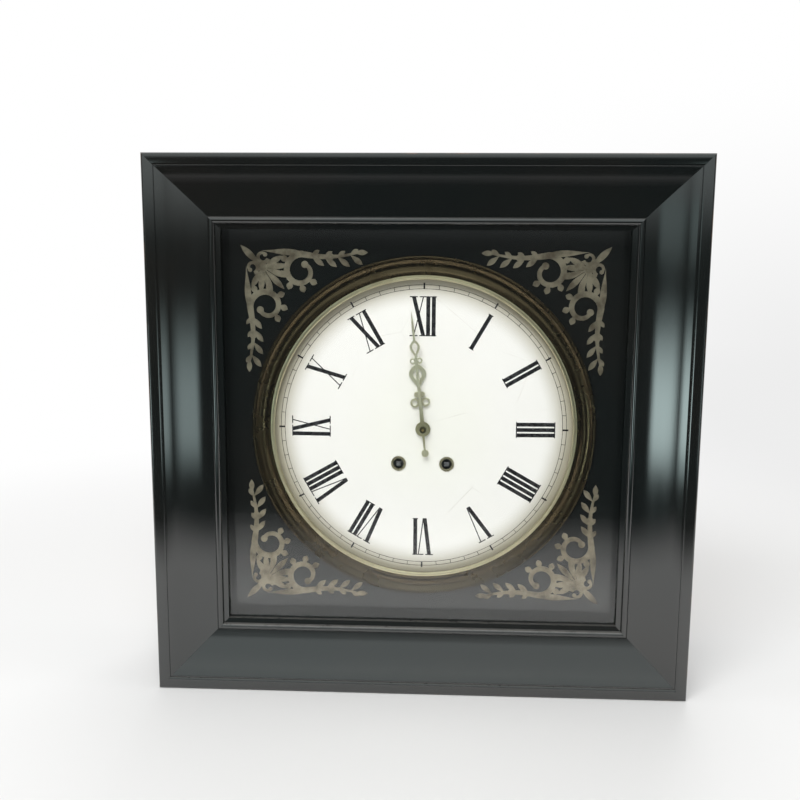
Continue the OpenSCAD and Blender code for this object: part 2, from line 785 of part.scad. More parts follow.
// Hinges: a fixed leaf with two knuckles and the pin, and a moving leaf with the middle knuckle
function front_hinges() = [hinge_inset, case_h - hinge_inset];
function back_hinges() = [for (s = [-1, 1]) hatch_z + s * (hatch_h / 2 - back_hinge_inset)];
module knuckle(axis, z0, z1) translate([axis[0], axis[1], z0]) cylinder(r = knuckle_r, h = z1 - z0);
// The leaf lies between x0 and the axis, from y0 to y0 + leaf_t
module fixed_leaf(axis, z, x0, x1, y0) union() {
    third = hinge_len / 3;
    difference() {
        block([min(x0, x1), y0, z - hinge_len / 2], [max(x0, x1), y0 + leaf_t, z + hinge_len / 2]);
        translate([axis[0], axis[1], z - third / 2]) cylinder(r = knuckle_r + knuckle_gap, h = third);
    }
    knuckle(axis, z - hinge_len / 2, z - third / 2);
    knuckle(axis, z + third / 2, z + hinge_len / 2);
    translate([axis[0], axis[1], z - hinge_len / 2]) cylinder(r = pin_r, h = hinge_len);
}
module moving_leaf(axis, z, x0, x1, y0) difference() {
    third = hinge_len / 3 - 2 * knuckle_gap;
    union() {
        difference() {
            block([min(x0, x1), y0, z - hinge_len / 2], [max(x0, x1), y0 + leaf_t, z + hinge_len / 2]);
            for (s = [0, 1]) translate([axis[0], axis[1], z]) mirror([0, 0, s]) translate([0, 0, third / 2])
                cylinder(r = knuckle_r + knuckle_gap, h = hinge_len / 2);
        }
        knuckle(axis, z - third / 2, z + third / 2);
    }
    translate([axis[0], axis[1], z - hinge_len]) cylinder(r = pin_r + run, h = 2 * hinge_len);
}
module hinge_leaves_case() color(BRASS) {
    for (z = front_hinges()) fixed_leaf(front_axis, z, case_w / 2 - leaf_w, front_axis[0], front_y);
    for (z = back_hinges()) fixed_leaf(back_axis, z, back_axis[0] + leaf_w, back_axis[0], back_y - leaf_t);
}
module hinge_leaves_door() color(BRASS) for (z = front_hinges())
    moving_leaf(front_axis, z, case_w / 2 - leaf_w, front_axis[0], door_back_y - leaf_t);
module hinge_leaves_back() color(BRASS) for (z = back_hinges())
    moving_leaf(back_axis, z, back_axis[0] - leaf_w, back_axis[0], back_y - leaf_t);

// Catch of the front door: a tapered peg in a bushed hole
module catch_plate() color(BRASS) difference() {
    catch_block(front_y);
    translate([peg_x, 0, dial_z]) round_bar(peg_r + fit_gap, front_y - 1, front_y + leaf_t + 1);
}
module catch_peg() color(BRASS) translate([peg_x, door_back_y, dial_z]) rotate([-90, 0, 0]) union() {
    cylinder(r1 = peg_r, r2 = peg_tip_r, h = peg_len);
    translate([0, 0, -peg_root]) cylinder(r = peg_r, h = peg_root);
}

// Moulded front door. The section runs from the outer edge inwards, and up from the back of the door.
module rail_section() difference() {
    union() {
        difference() {
            polygon([
                [0, 0], [rail_w, 0], [rail_w, lip_h], [cove_to, cove_low], [cove_to, rail_t], [0, rail_t]
            ]);
            translate(cove_centre) circle(cove_r, $fn = 128);
            translate([border_w, cove_top]) square([rail_w, 20]);
            translate([0, rail_t - edge_r]) difference() {
                translate([-1, 0]) square([edge_r + 1, edge_r + 1]);
                translate([edge_r, 0]) circle(edge_r, $fn = 32);
            }
        }
        translate([cove_to + bead_r, cove_low - bead_up]) circle(bead_r, $fn = 48);
    }
    translate([rail_w - glass_lap, -1]) square([glass_lap + 1, glass_front_h + 1]);
}
module rail(length) intersection() {
    translate([-length / 2, 0, 0]) rotate([180, -90, 0]) linear_extrude(length) rail_section();
    along_y(-rail_t - 1, 1) polygon([
        [-length / 2, 0], [length / 2, 0], [length / 2 - rail_w, rail_w], [-length / 2 + rail_w, rail_w]
    ]);
}
module door_rail_bottom() color(EBONY) translate([0, door_back_y, 0]) rail(case_w);
module door_rail_top() color(EBONY) translate([0, door_back_y, case_h]) rotate([0, 180, 0]) rail(case_w);
module door_stile_left() color(EBONY) difference() {
    translate([-case_w / 2, door_back_y, dial_z]) rotate([0, 90, 0]) rail(case_h);
    translate([peg_x, 0, dial_z]) round_bar(peg_r, door_back_y - peg_root, door_back_y + 1);
}
module door_stile_right() color(EBONY) difference() {
    translate([case_w / 2, door_back_y, dial_z]) rotate([0, -90, 0]) rail(case_h);
    for (z = front_hinges()) block([case_w / 2 - leaf_w, door_back_y - leaf_t, z - hinge_len / 2],
        [case_w / 2 + 1, door_back_y + 1, z + hinge_len / 2]);
}
module sight_block(grow, h0, h1) block([-sight_w / 2 - grow, door_back_y - h1, rail_w - grow],
    [sight_w / 2 + grow, door_back_y - h0, case_h - rail_w + grow]);
module door_glass() color(GLASS) sight_block(glass_lap - fit_gap, glass_back_h, glass_front_h);
module glazing_beads() color(EBONY) difference() {
    sight_block(glass_lap, glass_back_h - bead_depth, glass_back_h);
    sight_block(0, glass_back_h - bead_depth - 1, glass_back_h + 1);
}

// Plates of the movement. Each list of places gets holes of one radius through the plate from y0 to y1.
module holes(places, r, y0, y1) for (p = places) spot(p) round_bar(r, y0 - 1, y1 + 1);
module front_plate() color(BRASS) at_dial() union() {
    difference() {
        round_bar(plate_r, plate_y, gap_y);
        holes(FRONT_PIVOTS, pivot_r + run, plate_y, gap_y);
        holes([centre_at], arbor_r + run, plate_y, gap_y);
        holes([going_at, strike_at], winding_r + run, plate_y, gap_y);
        holes(FEET, foot_r + run, plate_y, gap_y);
        holes(concat(PLATE_SCREWS, PILLARS), screw_r, plate_y, gap_y);
    }
    spot(minute_at) round_bar(stud_r, cannon_y - motion_stud, plate_y + 1);
    for (s = [-1, 1]) spot([s * click_pivot[0], click_pivot[1]])
        round_bar(stud_r, ratchet_y - ratchet_thick - 1, plate_y + 1);
}
module back_plate() color(BRASS) at_dial() difference() {
    round_bar(plate_r, rear_y, rear_back_y);
    holes(REAR_PIVOTS, pivot_r + run, rear_y, rear_back_y);
    holes(THROUGH_ARBORS, arbor_r + run, rear_y, rear_back_y);
    holes([going_at, strike_at], rear_winding_r + run, rear_y, rear_back_y);
    holes(PILLARS, screw_r, rear_y, rear_back_y);
}
module pillars() color(BRASS) at_dial() for (p = PILLARS) spot(p) union() {
    round_bar(pillar_r - pillar_waist, gap_y, rear_y);
    round_bar(pillar_r, gap_y, gap_y + pillar_collar);
    round_bar(pillar_r, rear_y - pillar_collar, rear_y);
    round_bar(screw_r, plate_y, rear_back_y + nut_over);
}
module plate_fasteners() color(STEEL) at_dial() {
    for (p = PILLARS) spot(p) along_y(rear_back_y, rear_back_y + plate_nut_t) difference() {
        circle(plate_nut_r, $fn = 6);
        circle(screw_r);
    }
    for (p = PLATE_SCREWS) spot(p) screw(panel_back_y, gap_y);
}

// Spring barrels, their winding arbors with ratchets, and the clicks
module barrel(turn) {
    difference() {
        union() {
            round_bar(drum_r, gap_y + drum_from, gap_y + great_from + 0.1);
            from_plate(great_from, great_from + great_thick) wheel_teeth(great_n, great_m, turn);
        }
        round_bar(drum_r - drum_wall, gap_y + drum_from + drum_wall, gap_y + great_from - drum_wall);
        round_bar(spring_arbor_r + run, gap_y, rear_y);
    }
}
module winding_arbor() union() {
    round_bar(spring_arbor_r, gap_y + end_shake, gap_y + great_from + great_thick + barrel_over);
    round_bar(rear_winding_r, gap_y + great_from, rear_back_y - end_shake);
    round_bar(winding_r, plate_y - winding_neck, gap_y + 1);
    along_y(ratchet_y - ratchet_thick, ratchet_y) polygon([
        for (i = [0:ratchet_n - 1], k = [0, 1])
            polar(ratchet_r - (1 - k) * ratchet_depth, (i + k * ratchet_slope) * 360 / ratchet_n)
    ]);
    along_y(dial_face_y - square_up, plate_y - winding_neck + 1) square(square_w, center = true);
}
module click() along_y(ratchet_y - ratchet_thick, ratchet_y) difference() {
    union() {
        translate(click_pivot) circle(click_eye_r);
        translate(click_nose) circle(click_nose_r, $fn = 24);
        translate(click_pivot) rotate(bearing(click_pivot, click_nose))
            polygon([
                [0, -click_root], [click_len, -click_tip], [click_len, click_tip], [0, click_root]
            ]);
    }
    translate(click_pivot) circle(stud_r + run);
}
module going_barrel() color(BRASS) at_dial() spot(going_at) barrel(bearing(going_at, second_at));
module going_winding_arbor() color(STEEL) at_dial() spot(going_at) winding_arbor();
module going_click() color(STEEL) at_dial() click();
module strike_barrel() color(BRASS) at_dial() spot(strike_at) barrel(bearing(strike_at, strike_second_at));
module strike_winding_arbor() color(STEEL) at_dial() spot(strike_at) winding_arbor();
module strike_click() color(STEEL) at_dial() mirror([1, 0, 0]) click();

// Going train
module going_second_wheel() color(BRASS) at_dial() spot(second_at) union() {
    arbor();
    train_pinion(second_pinion_n, great_m, bearing(second_at, going_at), great_from, great_thick);
    train_wheel(second_n, second_m, bearing(second_at, centre_at), second_from);
}
module centre_arbor() color(BRASS) at_dial() {
    union() {
        round_bar(arbor_r, nut_y - nut_t - arbor_over, gap_y + plate_gap - end_shake);
        round_bar(pivot_r, rear_y - 1, rear_back_y - end_shake);
        train_pinion(centre_pinion_n, second_m, bearing(centre_at, second_at), second_from);
        train_wheel(centre_n, train_m, bearing(centre_at, third_at), centre_from);
    }
    difference() {
        union() {
            round_bar(cannon_r, nut_y, cannon_y);
            along_y(cannon_y - cannon_thick, cannon_y)
                wheel_teeth(cannon_n, motion_m, bearing(centre_at, minute_at));
        }
        round_bar(arbor_r + seat_gap, nut_y - 1, cannon_y + 1);
    }
}
module third_wheel() color(BRASS) at_dial() spot(third_at) union() {
    arbor();
    train_pinion(leaf_n, train_m, bearing(third_at, centre_at), centre_from);
    train_wheel(third_n, train_m, bearing(third_at, escape_at), third_from);
}
module escape_teeth() difference() {
    polygon([for (i = [0:escape_n - 1], k = [0:2])
        polar(escape_r - (k == 0 ? escape_tooth : 0), (i + [0, 0.38, 0.5][k]) * 360 / escape_n)]);
    arm_windows(escape_r - escape_tooth - escape_rim, escape_hub_r, wheel_arms, escape_arm_w);
}
module escape_wheel() color(BRASS) at_dial() spot(escape_at) union() {
    arbor();
    train_pinion(leaf_n, train_m, bearing(escape_at, third_at), third_from);
    from_plate(escape_from, escape_from + escape_t) escape_teeth();
}

// Anchor, crutch and pendulum swing about one line
function pallet_point(side, r) =
    escape_at + polar(r, bearing(escape_at, pallet_at) + side * 180 * escape_span / escape_n);
module anchor_outline() difference() {
    union() {
        translate(pallet_at) circle(anchor_r);
        for (s = [-1, 1]) polygon([
            pallet_at + [s * 1.6, 1.8], pallet_at + [s * 0.4, -2],
            pallet_point(-s, escape_r + pallet_h), pallet_point(-s, escape_r),
            pallet_point(-s * pallet_nib, escape_r), pallet_point(-s * pallet_back, escape_r + pallet_back_h)
        ]);
    }
    translate(escape_at) circle(escape_r + pallet_gap);
}
module anchor() color(STEEL) at_dial() union() {
    spot(pallet_at) {
        arbor(arbor_r, plate_gap - end_shake);
        round_bar(arbor_r, rear_y - 1, crutch_y + crutch_t);
        round_bar(anchor_r, rear_back_y + end_shake, crutch_y + crutch_t);
    }
    from_plate(escape_from - anchor_over, escape_from + escape_t + anchor_over) anchor_outline();
    block([-crutch_w / 2, crutch_y, crutch_z], [crutch_w / 2, crutch_y + crutch_t, pallet_at[1]]);
    for (s = [0, 1]) mirror([s, 0, 0])
        block([rod_r + fork_gap, crutch_y, crutch_z - fork_h],
            [rod_r + fork_w, pendulum_y + fork_over, crutch_z]);
    block([-rod_r - fork_w, crutch_y, crutch_z - fork_h], [rod_r + fork_w, crutch_y + crutch_t, crutch_z]);
}
module cock_pin_at(x) translate([x, pendulum_y, cock_pin_z]) rotate([0, 90, 0]) children();
module suspension_cock() color(BRASS) at_dial() union() {
    for (s = [0, 1]) mirror([s, 0, 0])
        block([cheek_gap, rear_back_y + 1, cock_z],
            [cheek_w, pendulum_y + cheek_over, cock_z + 2 * cock_pin_up]);
    block([-cock_w / 2, rear_back_y, cock_z], [cock_w / 2, rear_back_y + cock_t, pallet_at[1] + cock_top]);
    cock_pin_at(-cock_pin_len / 2) cylinder(r = cock_pin_r, h = cock_pin_len);
}
module suspension_spring() color(STEEL) at_dial() difference() {
    block([-spring_t / 2, pendulum_y - spring_w / 2, pallet_at[1] - spring_foot],
        [spring_t / 2, pendulum_y + spring_w / 2, cock_z + spring_up]);
    cock_pin_at(-1) cylinder(r = cock_pin_r + 0.5, h = 2);
}
module pendulum_rod() color(STEEL) at_dial() translate([0, pendulum_y, pallet_at[1]]) union() {
    translate([0, 0, -bob_drop - bob_r - rod_over])
        cylinder(r = rod_r, h = bob_drop + bob_r + rod_over - spring_foot - 2);
    block([-rod_head_w / 2, -spring_w / 2, -spring_foot - rod_head_h],
        [rod_head_w / 2, spring_w / 2, -spring_foot]);
}
module pendulum_bob() color(BRASS) at_dial() translate([0, pendulum_y, pallet_at[1] - bob_drop]) {
    difference() {
        rotate([90, 0, 0]) intersection() {
            translate([0, 0, bob_t / 2 - lens_r]) sphere(lens_r, $fn = 128);
            translate([0, 0, lens_r - bob_t / 2]) sphere(lens_r, $fn = 128);
            cylinder(r = bob_r, h = bob_t, center = true);
        }
        translate([0, 0, -2 * bob_r]) cylinder(r = rod_r, h = 4 * bob_r);
    }
    translate([0, 0, -bob_r - bob_nut_gap - bob_nut_h]) difference() {
        cylinder(r = bob_nut_r, h = bob_nut_h);
        translate([0, 0, -1]) cylinder(r = rod_r, h = bob_nut_h + 2);
    }
}

// Motion work and hands
module motion_wheel(n, m, turn) difference() {
    wheel_teeth(n, m, turn);
    arm_windows(n * m / 2 - motion_rim, motion_hub_r, motion_arms, motion_arm_w);
}
module minute_wheel() color(BRASS) at_dial() spot(minute_at) difference() {
    union() {
        along_y(cannon_y - motion_thick - motion_gap, cannon_y - motion_gap)
            motion_wheel(minute_n, motion_m, 180 / minute_n - 90);
        along_y(hour_wheel_y - motion_thick - minute_pinion_over, cannon_y - motion_thick)
            wheel_teeth(minute_pinion_n, hour_m, -90);
    }
    round_bar(stud_r + run, cannon_y - motion_stud - 2, cannon_y + 1);
}
module hour_wheel() color(BRASS) at_dial() difference() {
    union() {
        along_y(hour_wheel_y - motion_thick, hour_wheel_y)
            motion_wheel(hour_n, hour_m, 90 + 180 / hour_n);
        round_bar(hour_pipe_r, hour_hand_y - hand_t, hour_wheel_y);
    }
    round_bar(cannon_r + run, hour_hand_y - hand_t - 1, hour_wheel_y + 1);
}
// Pierced hands, drawn upright. Each has a tapered blade, a pair of rings and a pierced leaf.
module blade(length, w) polygon([
    [-w / 2, 0], [w / 2, 0], [w * 0.3, length * 0.9], [0, length], [-w * 0.3, length * 0.9]
]);
module pair(at, x, r) for (s = [-1, 1]) translate([s * x, at]) circle(r, $fn = 48);
module upright_leaf(from, to, w) translate([0, from]) rotate(90) leaf(to - from, w);
// The piercing of a leaf starts and ends at two shares of its length and has a share of its width
module leaf_piercing(from, to, w)
    upright_leaf(from + piercing[0] * (to - from), from + piercing[1] * (to - from), piercing[2] * w);
module hour_outline() difference() {
    union() {
        circle(hour_hub_r);
        blade(hour_len, hour_blade_w);
        pair(hour_ring_at, hour_ring_x, hour_ring_r);
        pair(hour_bud_at, hour_bud_r, hour_bud_r);
        upright_leaf(hour_leaf_from, hour_len - hour_leaf_below, hour_leaf_w);
    }
    circle(hour_pipe_r);
    pair(hour_ring_at, hour_ring_x + ring_hole_out, hour_ring_hole_r);
    leaf_piercing(hour_leaf_from, hour_len - hour_leaf_below, hour_leaf_w);
}
module minute_outline() difference() {
    union() {
        circle(minute_hub_r);
        blade(minute_len, minute_blade_w);
        rotate(180) blade(tail_len, tail_blade_w);
        translate([0, -tail_len]) circle(tail_disc_r);
        pair(minute_ring_at, minute_ring_x, minute_ring_r);
        upright_leaf(minute_leaf_from, minute_leaf_to, minute_leaf_w);
    }
    circle(cannon_r);
    pair(minute_ring_at, minute_ring_x + ring_hole_out / 2, minute_ring_hole_r);
    leaf_piercing(minute_leaf_from, minute_leaf_to, minute_leaf_w);
}
module minute_hand() color(BRASS) at_dial() along_y(minute_hand_y - hand_t, minute_hand_y)
    rotate(minute_back) minute_outline();
module hour_hand() color(BRASS) at_dial() along_y(hour_hand_y - hand_t, hour_hand_y)
    rotate(hour_back) hour_outline();
module hand_nut() color(BRASS) at_dial() difference() {
    round_bar(nut_r, nut_y - nut_t, nut_y);
    round_bar(arbor_r, nut_y - nut_t - 1, nut_y + 1);
}

// Striking train. The counting wheel turns with the second wheel behind the back plate.
function notch_turn(hour) = (hour * (hour + 1) / 2 + hour) * 360 / count_slots;
module strike_second_wheel() color(BRASS) at_dial() spot(strike_second_at) union() {
    arbor(arbor_r, plate_gap - end_shake);
    round_bar(arbor_r, rear_y - 1, count_y + wheel_thick + count_over);
    train_pinion(second_pinion_n, great_m, bearing(strike_second_at, strike_at), great_from, great_thick);
    train_wheel(strike_second_n, train_m, bearing(strike_second_at, pin_at), strike_second_from);
}
module count_outline() difference() {
    circle(count_r);
    circle(arbor_r + seat_gap);
    for (hour = [0:11]) rotate(-notch_turn(hour)) translate([count_r - slot_d, -slot_w / 2])
        square([2 * slot_d, slot_w]);
    arm_windows(count_r - slot_d - count_rim, count_hub_r, count_arms, count_arm_w);
}
module count_wheel() color(BRASS) at_dial() spot(strike_second_at)
    along_y(count_y, count_y + wheel_thick) count_outline();
module pin_wheel() color(BRASS) at_dial() spot(pin_at) union() {
    arbor();
    train_pinion(pin_pinion_n, train_m, bearing(pin_at, strike_second_at), strike_second_from);
    train_wheel(pin_n, train_m, bearing(pin_at, locking_at), pin_from);
    for (i = [0:lifting_pins - 1]) spot(polar(lift_r, (i + 0.5) * 360 / lifting_pins))
        round_bar(lift_pin_r, gap_y + pin_from + 0.5, gap_y + pin_from + wheel_thick + lift_pin_len);
}
module locking_wheel() color(BRASS) at_dial() spot(locking_at) union() {
    arbor();
    train_pinion(leaf_n, train_m, bearing(locking_at, pin_at), pin_from);
    train_wheel(locking_n, train_m, bearing(locking_at, fly_at), locking_from);
    spot(polar(locking_n * train_m / 2 - pin_inset, 200))
        round_bar(lift_pin_r, gap_y + locking_from - locking_pin_len, gap_y + locking_from + 0.5);
}
module fly() color(BRASS) at_dial() spot(fly_at) union() {
    arbor();
    train_pinion(leaf_n, train_m, bearing(fly_at, locking_at), locking_from);
    round_bar(arbor_r + fly_tube, gap_y + fly_from, gap_y + fly_from + vane_w + 2 * fly_tube);
    block([-fly_len, gap_y + fly_from + fly_tube, -vane_t / 2],
        [fly_len, gap_y + fly_from + fly_tube + vane_w, vane_t / 2]);
}

// Hammer, whose tail stands just clear of the lifting pins, with its head beside the bell's rim
module hammer() color(STEEL) at_dial() union() {
    spot(hammer_at) {
        arbor(arbor_r, plate_gap - end_shake);
        round_bar(arbor_r, rear_y - 1, arm_y + arm_boss);
        round_bar(hammer_boss_r, gap_y + tail_from - 0.3, gap_y + tail_from + tail_t + 0.3);
        round_bar(hammer_boss_r, arm_y, arm_y + arm_boss);
    }
    from_plate(tail_from, tail_from + tail_t) strip(hammer_at, pin_at, hammer_tail, tail_w);
    along_y(arm_y, arm_y + arm_t) strip(hammer_at, head_at, norm(head_at - hammer_at), arm_w);
    spot(head_at) round_bar(head_stem_r, arm_y, bell_rim_y + 2);
    spot(head_at) round_bar(hammer_r, bell_rim_y - 1, bell_rim_y - 1 + head_len);
}

// Bell and its stand on the back plate
module bell() color(BRASS) at_dial() turned(bell_top_y) difference() {
    intersection() {
        translate([0, bell_wall_r]) circle(bell_wall_r, $fn = 180);
        square([bell_r + 1, bell_d]);
    }
    translate([0, bell_wall_r]) circle(bell_wall_r - bell_t, $fn = 180);
    square([bell_stem_r + run, 3]);
}
module bell_stand() color(STEEL) at_dial() union() {
    spot(stand_at) round_bar(stand_foot_r, rear_back_y, rear_back_y + 1.5);
    spot(stand_at) round_bar(stand_r, rear_back_y, bell_rim_y + strap_from + strap_t);
    along_y(bell_rim_y + strap_from, bell_rim_y + strap_from + strap_t)
        strip(centre_at, stand_at, norm(stand_at), strap_w);
    round_bar(bell_stem_r, bell_rim_y + strap_from, bell_top_y + 3);
    round_bar(bell_washer_r, bell_rim_y + strap_from, bell_top_y - bell_t - bell_seat);
    along_y(bell_top_y, bell_top_y + 2) circle(bell_washer_r + 0.5, $fn = 6);
}

case_top();
case_bottom();
case_left();
case_right();
panel_cleats();
dial_panel();
corner_ornaments();
dial_bezel();
sight_ring();
dial();
winding_grommets();
movement_bars();
wood_screws();
back_board();
hanger_plate();
front_plate();
back_plate();
pillars();
plate_fasteners();
suspension_cock();
bell();
bell_stand();
hinge_leaves_case();
catch_plate();
door_rail_top();
door_rail_bottom();
door_stile_left();
door_stile_right();
door_glass();
glazing_beads();
hinge_leaves_door();
catch_peg();
back_door();
hinge_leaves_back();
turn_button();
going_barrel();
going_winding_arbor();
going_click();
going_second_wheel();
centre_arbor();
minute_hand();
hand_nut();
third_wheel();
escape_wheel();
anchor();
suspension_spring();
pendulum_rod();
pendulum_bob();
minute_wheel();
hour_wheel();
hour_hand();
strike_barrel();
strike_winding_arbor();
strike_click();
strike_second_wheel();
count_wheel();
pin_wheel();
locking_wheel();
fly();
hammer();
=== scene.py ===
"""Square wall clock: finishes, dial markings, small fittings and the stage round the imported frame."""

import json
import math

import bpy
from mathutils import Matrix, Vector

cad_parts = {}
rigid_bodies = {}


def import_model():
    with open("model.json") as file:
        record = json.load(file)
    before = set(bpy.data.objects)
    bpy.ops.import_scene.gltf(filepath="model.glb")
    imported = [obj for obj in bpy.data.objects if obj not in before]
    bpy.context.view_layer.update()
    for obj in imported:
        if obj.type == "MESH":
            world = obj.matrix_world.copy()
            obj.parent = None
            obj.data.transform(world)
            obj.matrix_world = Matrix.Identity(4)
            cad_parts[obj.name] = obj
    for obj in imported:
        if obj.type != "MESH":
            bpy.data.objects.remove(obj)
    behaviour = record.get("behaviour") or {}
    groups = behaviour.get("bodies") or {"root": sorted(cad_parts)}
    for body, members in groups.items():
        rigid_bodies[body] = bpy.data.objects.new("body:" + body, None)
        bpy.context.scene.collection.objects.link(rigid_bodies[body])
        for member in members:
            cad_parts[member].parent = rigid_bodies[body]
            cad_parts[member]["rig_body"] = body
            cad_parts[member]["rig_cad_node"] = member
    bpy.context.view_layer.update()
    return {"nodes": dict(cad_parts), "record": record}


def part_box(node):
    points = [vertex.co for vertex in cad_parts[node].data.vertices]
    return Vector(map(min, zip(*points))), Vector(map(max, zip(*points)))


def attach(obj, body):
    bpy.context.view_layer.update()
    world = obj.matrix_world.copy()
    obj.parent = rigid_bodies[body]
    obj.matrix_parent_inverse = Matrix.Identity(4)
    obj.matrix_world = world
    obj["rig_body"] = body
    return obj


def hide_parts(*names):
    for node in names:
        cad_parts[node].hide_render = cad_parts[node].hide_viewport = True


bl_info = {
    "name": "Square Wall Clock",
    "version": (1, 0, 0),
    "blender": (4, 5, 0),
    "location": "View3D > Sidebar > Clock",
    "description": "Finishes, dial markings and stage of an ebonised square wall clock",
    "category": "Add Mesh",
}

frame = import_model()
NODES = frame["nodes"]

# Places that the looks line up with, in metres, read from the frame
CASE_LOW, CASE_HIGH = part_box("case_bottom")
DIAL_LOW, DIAL_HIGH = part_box("dial")
BEZEL_LOW, BEZEL_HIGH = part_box("dial_bezel")
RIM_LOW, RIM_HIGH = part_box("sight_ring")
HALF_WIDTH = (CASE_HIGH.x - CASE_LOW.x) / 2
DIAL_CENTRE = (BEZEL_LOW + BEZEL_HIGH) / 2
DIAL_R = (DIAL_HIGH.x - DIAL_LOW.x) / 2
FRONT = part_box("door_rail_top")[0].y

MM = 0.001

# Points of a new piece, or of a CAD node's copy, that are this close are merged
MERGE, CAD_MERGE = 0.000001, 0.00001
FLAT_ANGLE = math.radians(0.5)
BEVELLED_ANGLE = math.radians(35)
SMOOTH_ANGLE = math.radians(28)
UPRIGHT = (math.pi / 2, 0, 0)

# Screw slots: length of their cutter, and how far the first and each next one is turned
CUTTER_LENGTH = 0.009
FIRST_SLOT, NEXT_SLOT = 0.6, 1.1

# Height above and below the dial's middle of the bars and of the screws through the plates
BAR_HEIGHT = 0.046


def colour(name, default, description):
    """A colour property in linear values."""
    return bpy.props.FloatVectorProperty(
        name=name, description=description, default=default, size=3, subtype="COLOR", min=0, max=1
    )


def length(name, default, description):
    """A length property in metres."""
    return bpy.props.FloatProperty(
        name=name, description=description, default=default, unit="LENGTH", subtype="DISTANCE", precision=5
    )


def amount(name, default, description):
    """A plain number property."""
    return bpy.props.FloatProperty(name=name, description=description, default=default, min=0)


def angle(name, degrees, description):
    """An angle property, given here in degrees."""
    return bpy.props.FloatProperty(
        name=name, description=description, default=math.radians(degrees), unit="ROTATION", subtype="ANGLE"
    )


class ClockColours(bpy.types.PropertyGroup):
    """Colours of the finishes."""

    polish: colour("Black polish", (0.0042, 0.0060, 0.0058), "Black French polish of the case and door")
    polish_brown: colour("Polish, thin", (0.014, 0.0105, 0.008), "Brown that shows through thin polish")
    pine: colour("Back wood", (0.36, 0.215, 0.105), "Light parts of the plain wood at the back")
    pine_dark: colour("Back wood, late growth", (0.20, 0.105, 0.045), "Dark lines of the plain wood")
    inlay: colour("Inlay", (0.36, 0.31, 0.225), "Tarnished brass of the corner scrolls")
    inlay_dark: colour("Inlay, dark", (0.12, 0.095, 0.065), "Dark tarnish in the scrolls")
    bezel: colour("Dial ring", (0.095, 0.072, 0.040), "Dark patinated brass round the dial")
    bezel_dark: colour("Dial ring, dark", (0.045, 0.032, 0.017), "Darker clouds in the patina")
    gilt: colour("Gilding", (0.66, 0.60, 0.40), "Pale gilding of the inner rim")
    hands: colour("Hands", (0.88, 0.86, 0.64), "Old gilding of the hands, gone olive")
    hands_hub: colour("Hands, by the hub", (0.50, 0.47, 0.30), "Gilding rubbed thin round the hub")
    nut: colour("Hand nut", (0.16, 0.15, 0.09), "Dark bronzed nut of the hands")
    brass: colour("Clock brass", (0.68, 0.50, 0.20), "Polished brass of the movement")
    tarnish: colour("Brass tarnish", (0.24, 0.14, 0.06), "Brown tarnish on brass")
    bell: colour("Bell metal", (0.62, 0.50, 0.30), "Turned bell metal")
    steel: colour("Steel", (0.34, 0.34, 0.35), "Grained steel")
    enamel: colour("Enamel", (0.90, 0.895, 0.86), "White enamel of the dial")
    ink: colour("Numerals", (0.012, 0.012, 0.014), "Fired black of the numerals")
    floor: colour("Floor", (0.83, 0.83, 0.82), "Pale paper that the clock stands on")
    floor_seen: colour("Floor, seen", (0.70, 0.70, 0.695), "The paper as the camera sees it")
    # Dust colour, which also serves as a painted reflection of the pale floor on faces that look upwards
    dust_and_painted_reflection: colour("Dust", (0.075, 0.073, 0.068), "Dust on the ledges and the top")
    # Painted shade of the dial's edge, where the dome falls away under the rings, mixed with real
    # yellowing of the enamel
    rim_painted_shade: colour("Dial rim", (0.42, 0.39, 0.29), "Greyed, yellowed enamel towards the rim")


class ClockSizes(bpy.types.PropertyGroup):
    """Sizes of what is drawn and set on the dial, and of the small fittings."""

    numeral_height: length("Numeral height", 0.034, "Height of the hour numerals, from foot to head")
    numeral_ring: length("Numeral ring", 0.0975, "From the centre to the middle of the numerals")
    stem_width: length("Stem", 0.0034, "Width of a numeral's thick strokes")
    hair_width: length("Hairline", 0.0009, "Width of a numeral's thin strokes and serifs")
    letter_pitch: length("Pitch of the I strokes", 0.0047, "Distance between neighbouring I strokes")
    cross_width: length("Width of V and X", 0.0118, "Width of the letters V and X")
    minute_ring: length("Minute ring", 0.1225, "From the centre to the middle of the minute track")
    minute_width: length("Minute track", 0.0034, "Between the two circles of the minute track")
    fired_depth: length("Fired depth", 0.00006, "Height of the fired black above the enamel")
    soft_edge: length("Edge rounding", 0.0006, "Rounding of the polished wood's edges")
    metal_edge: length("Metal edge rounding", 0.00018, "Rounding of the metal's edges")
    inlay_edge: length("Scroll edge rounding", 0.00015, "Rounding of the scrolls' cut edges")
    slot_width: length("Screw slot", 0.0009, "Width of the slots in the screw heads")
    slot_depth: length("Slot depth", 0.0006, "Depth of the slots in the screw heads")
    hinge_screw: length("Hinge screw head", 0.0023, "Radius of the screw heads in the hinges")


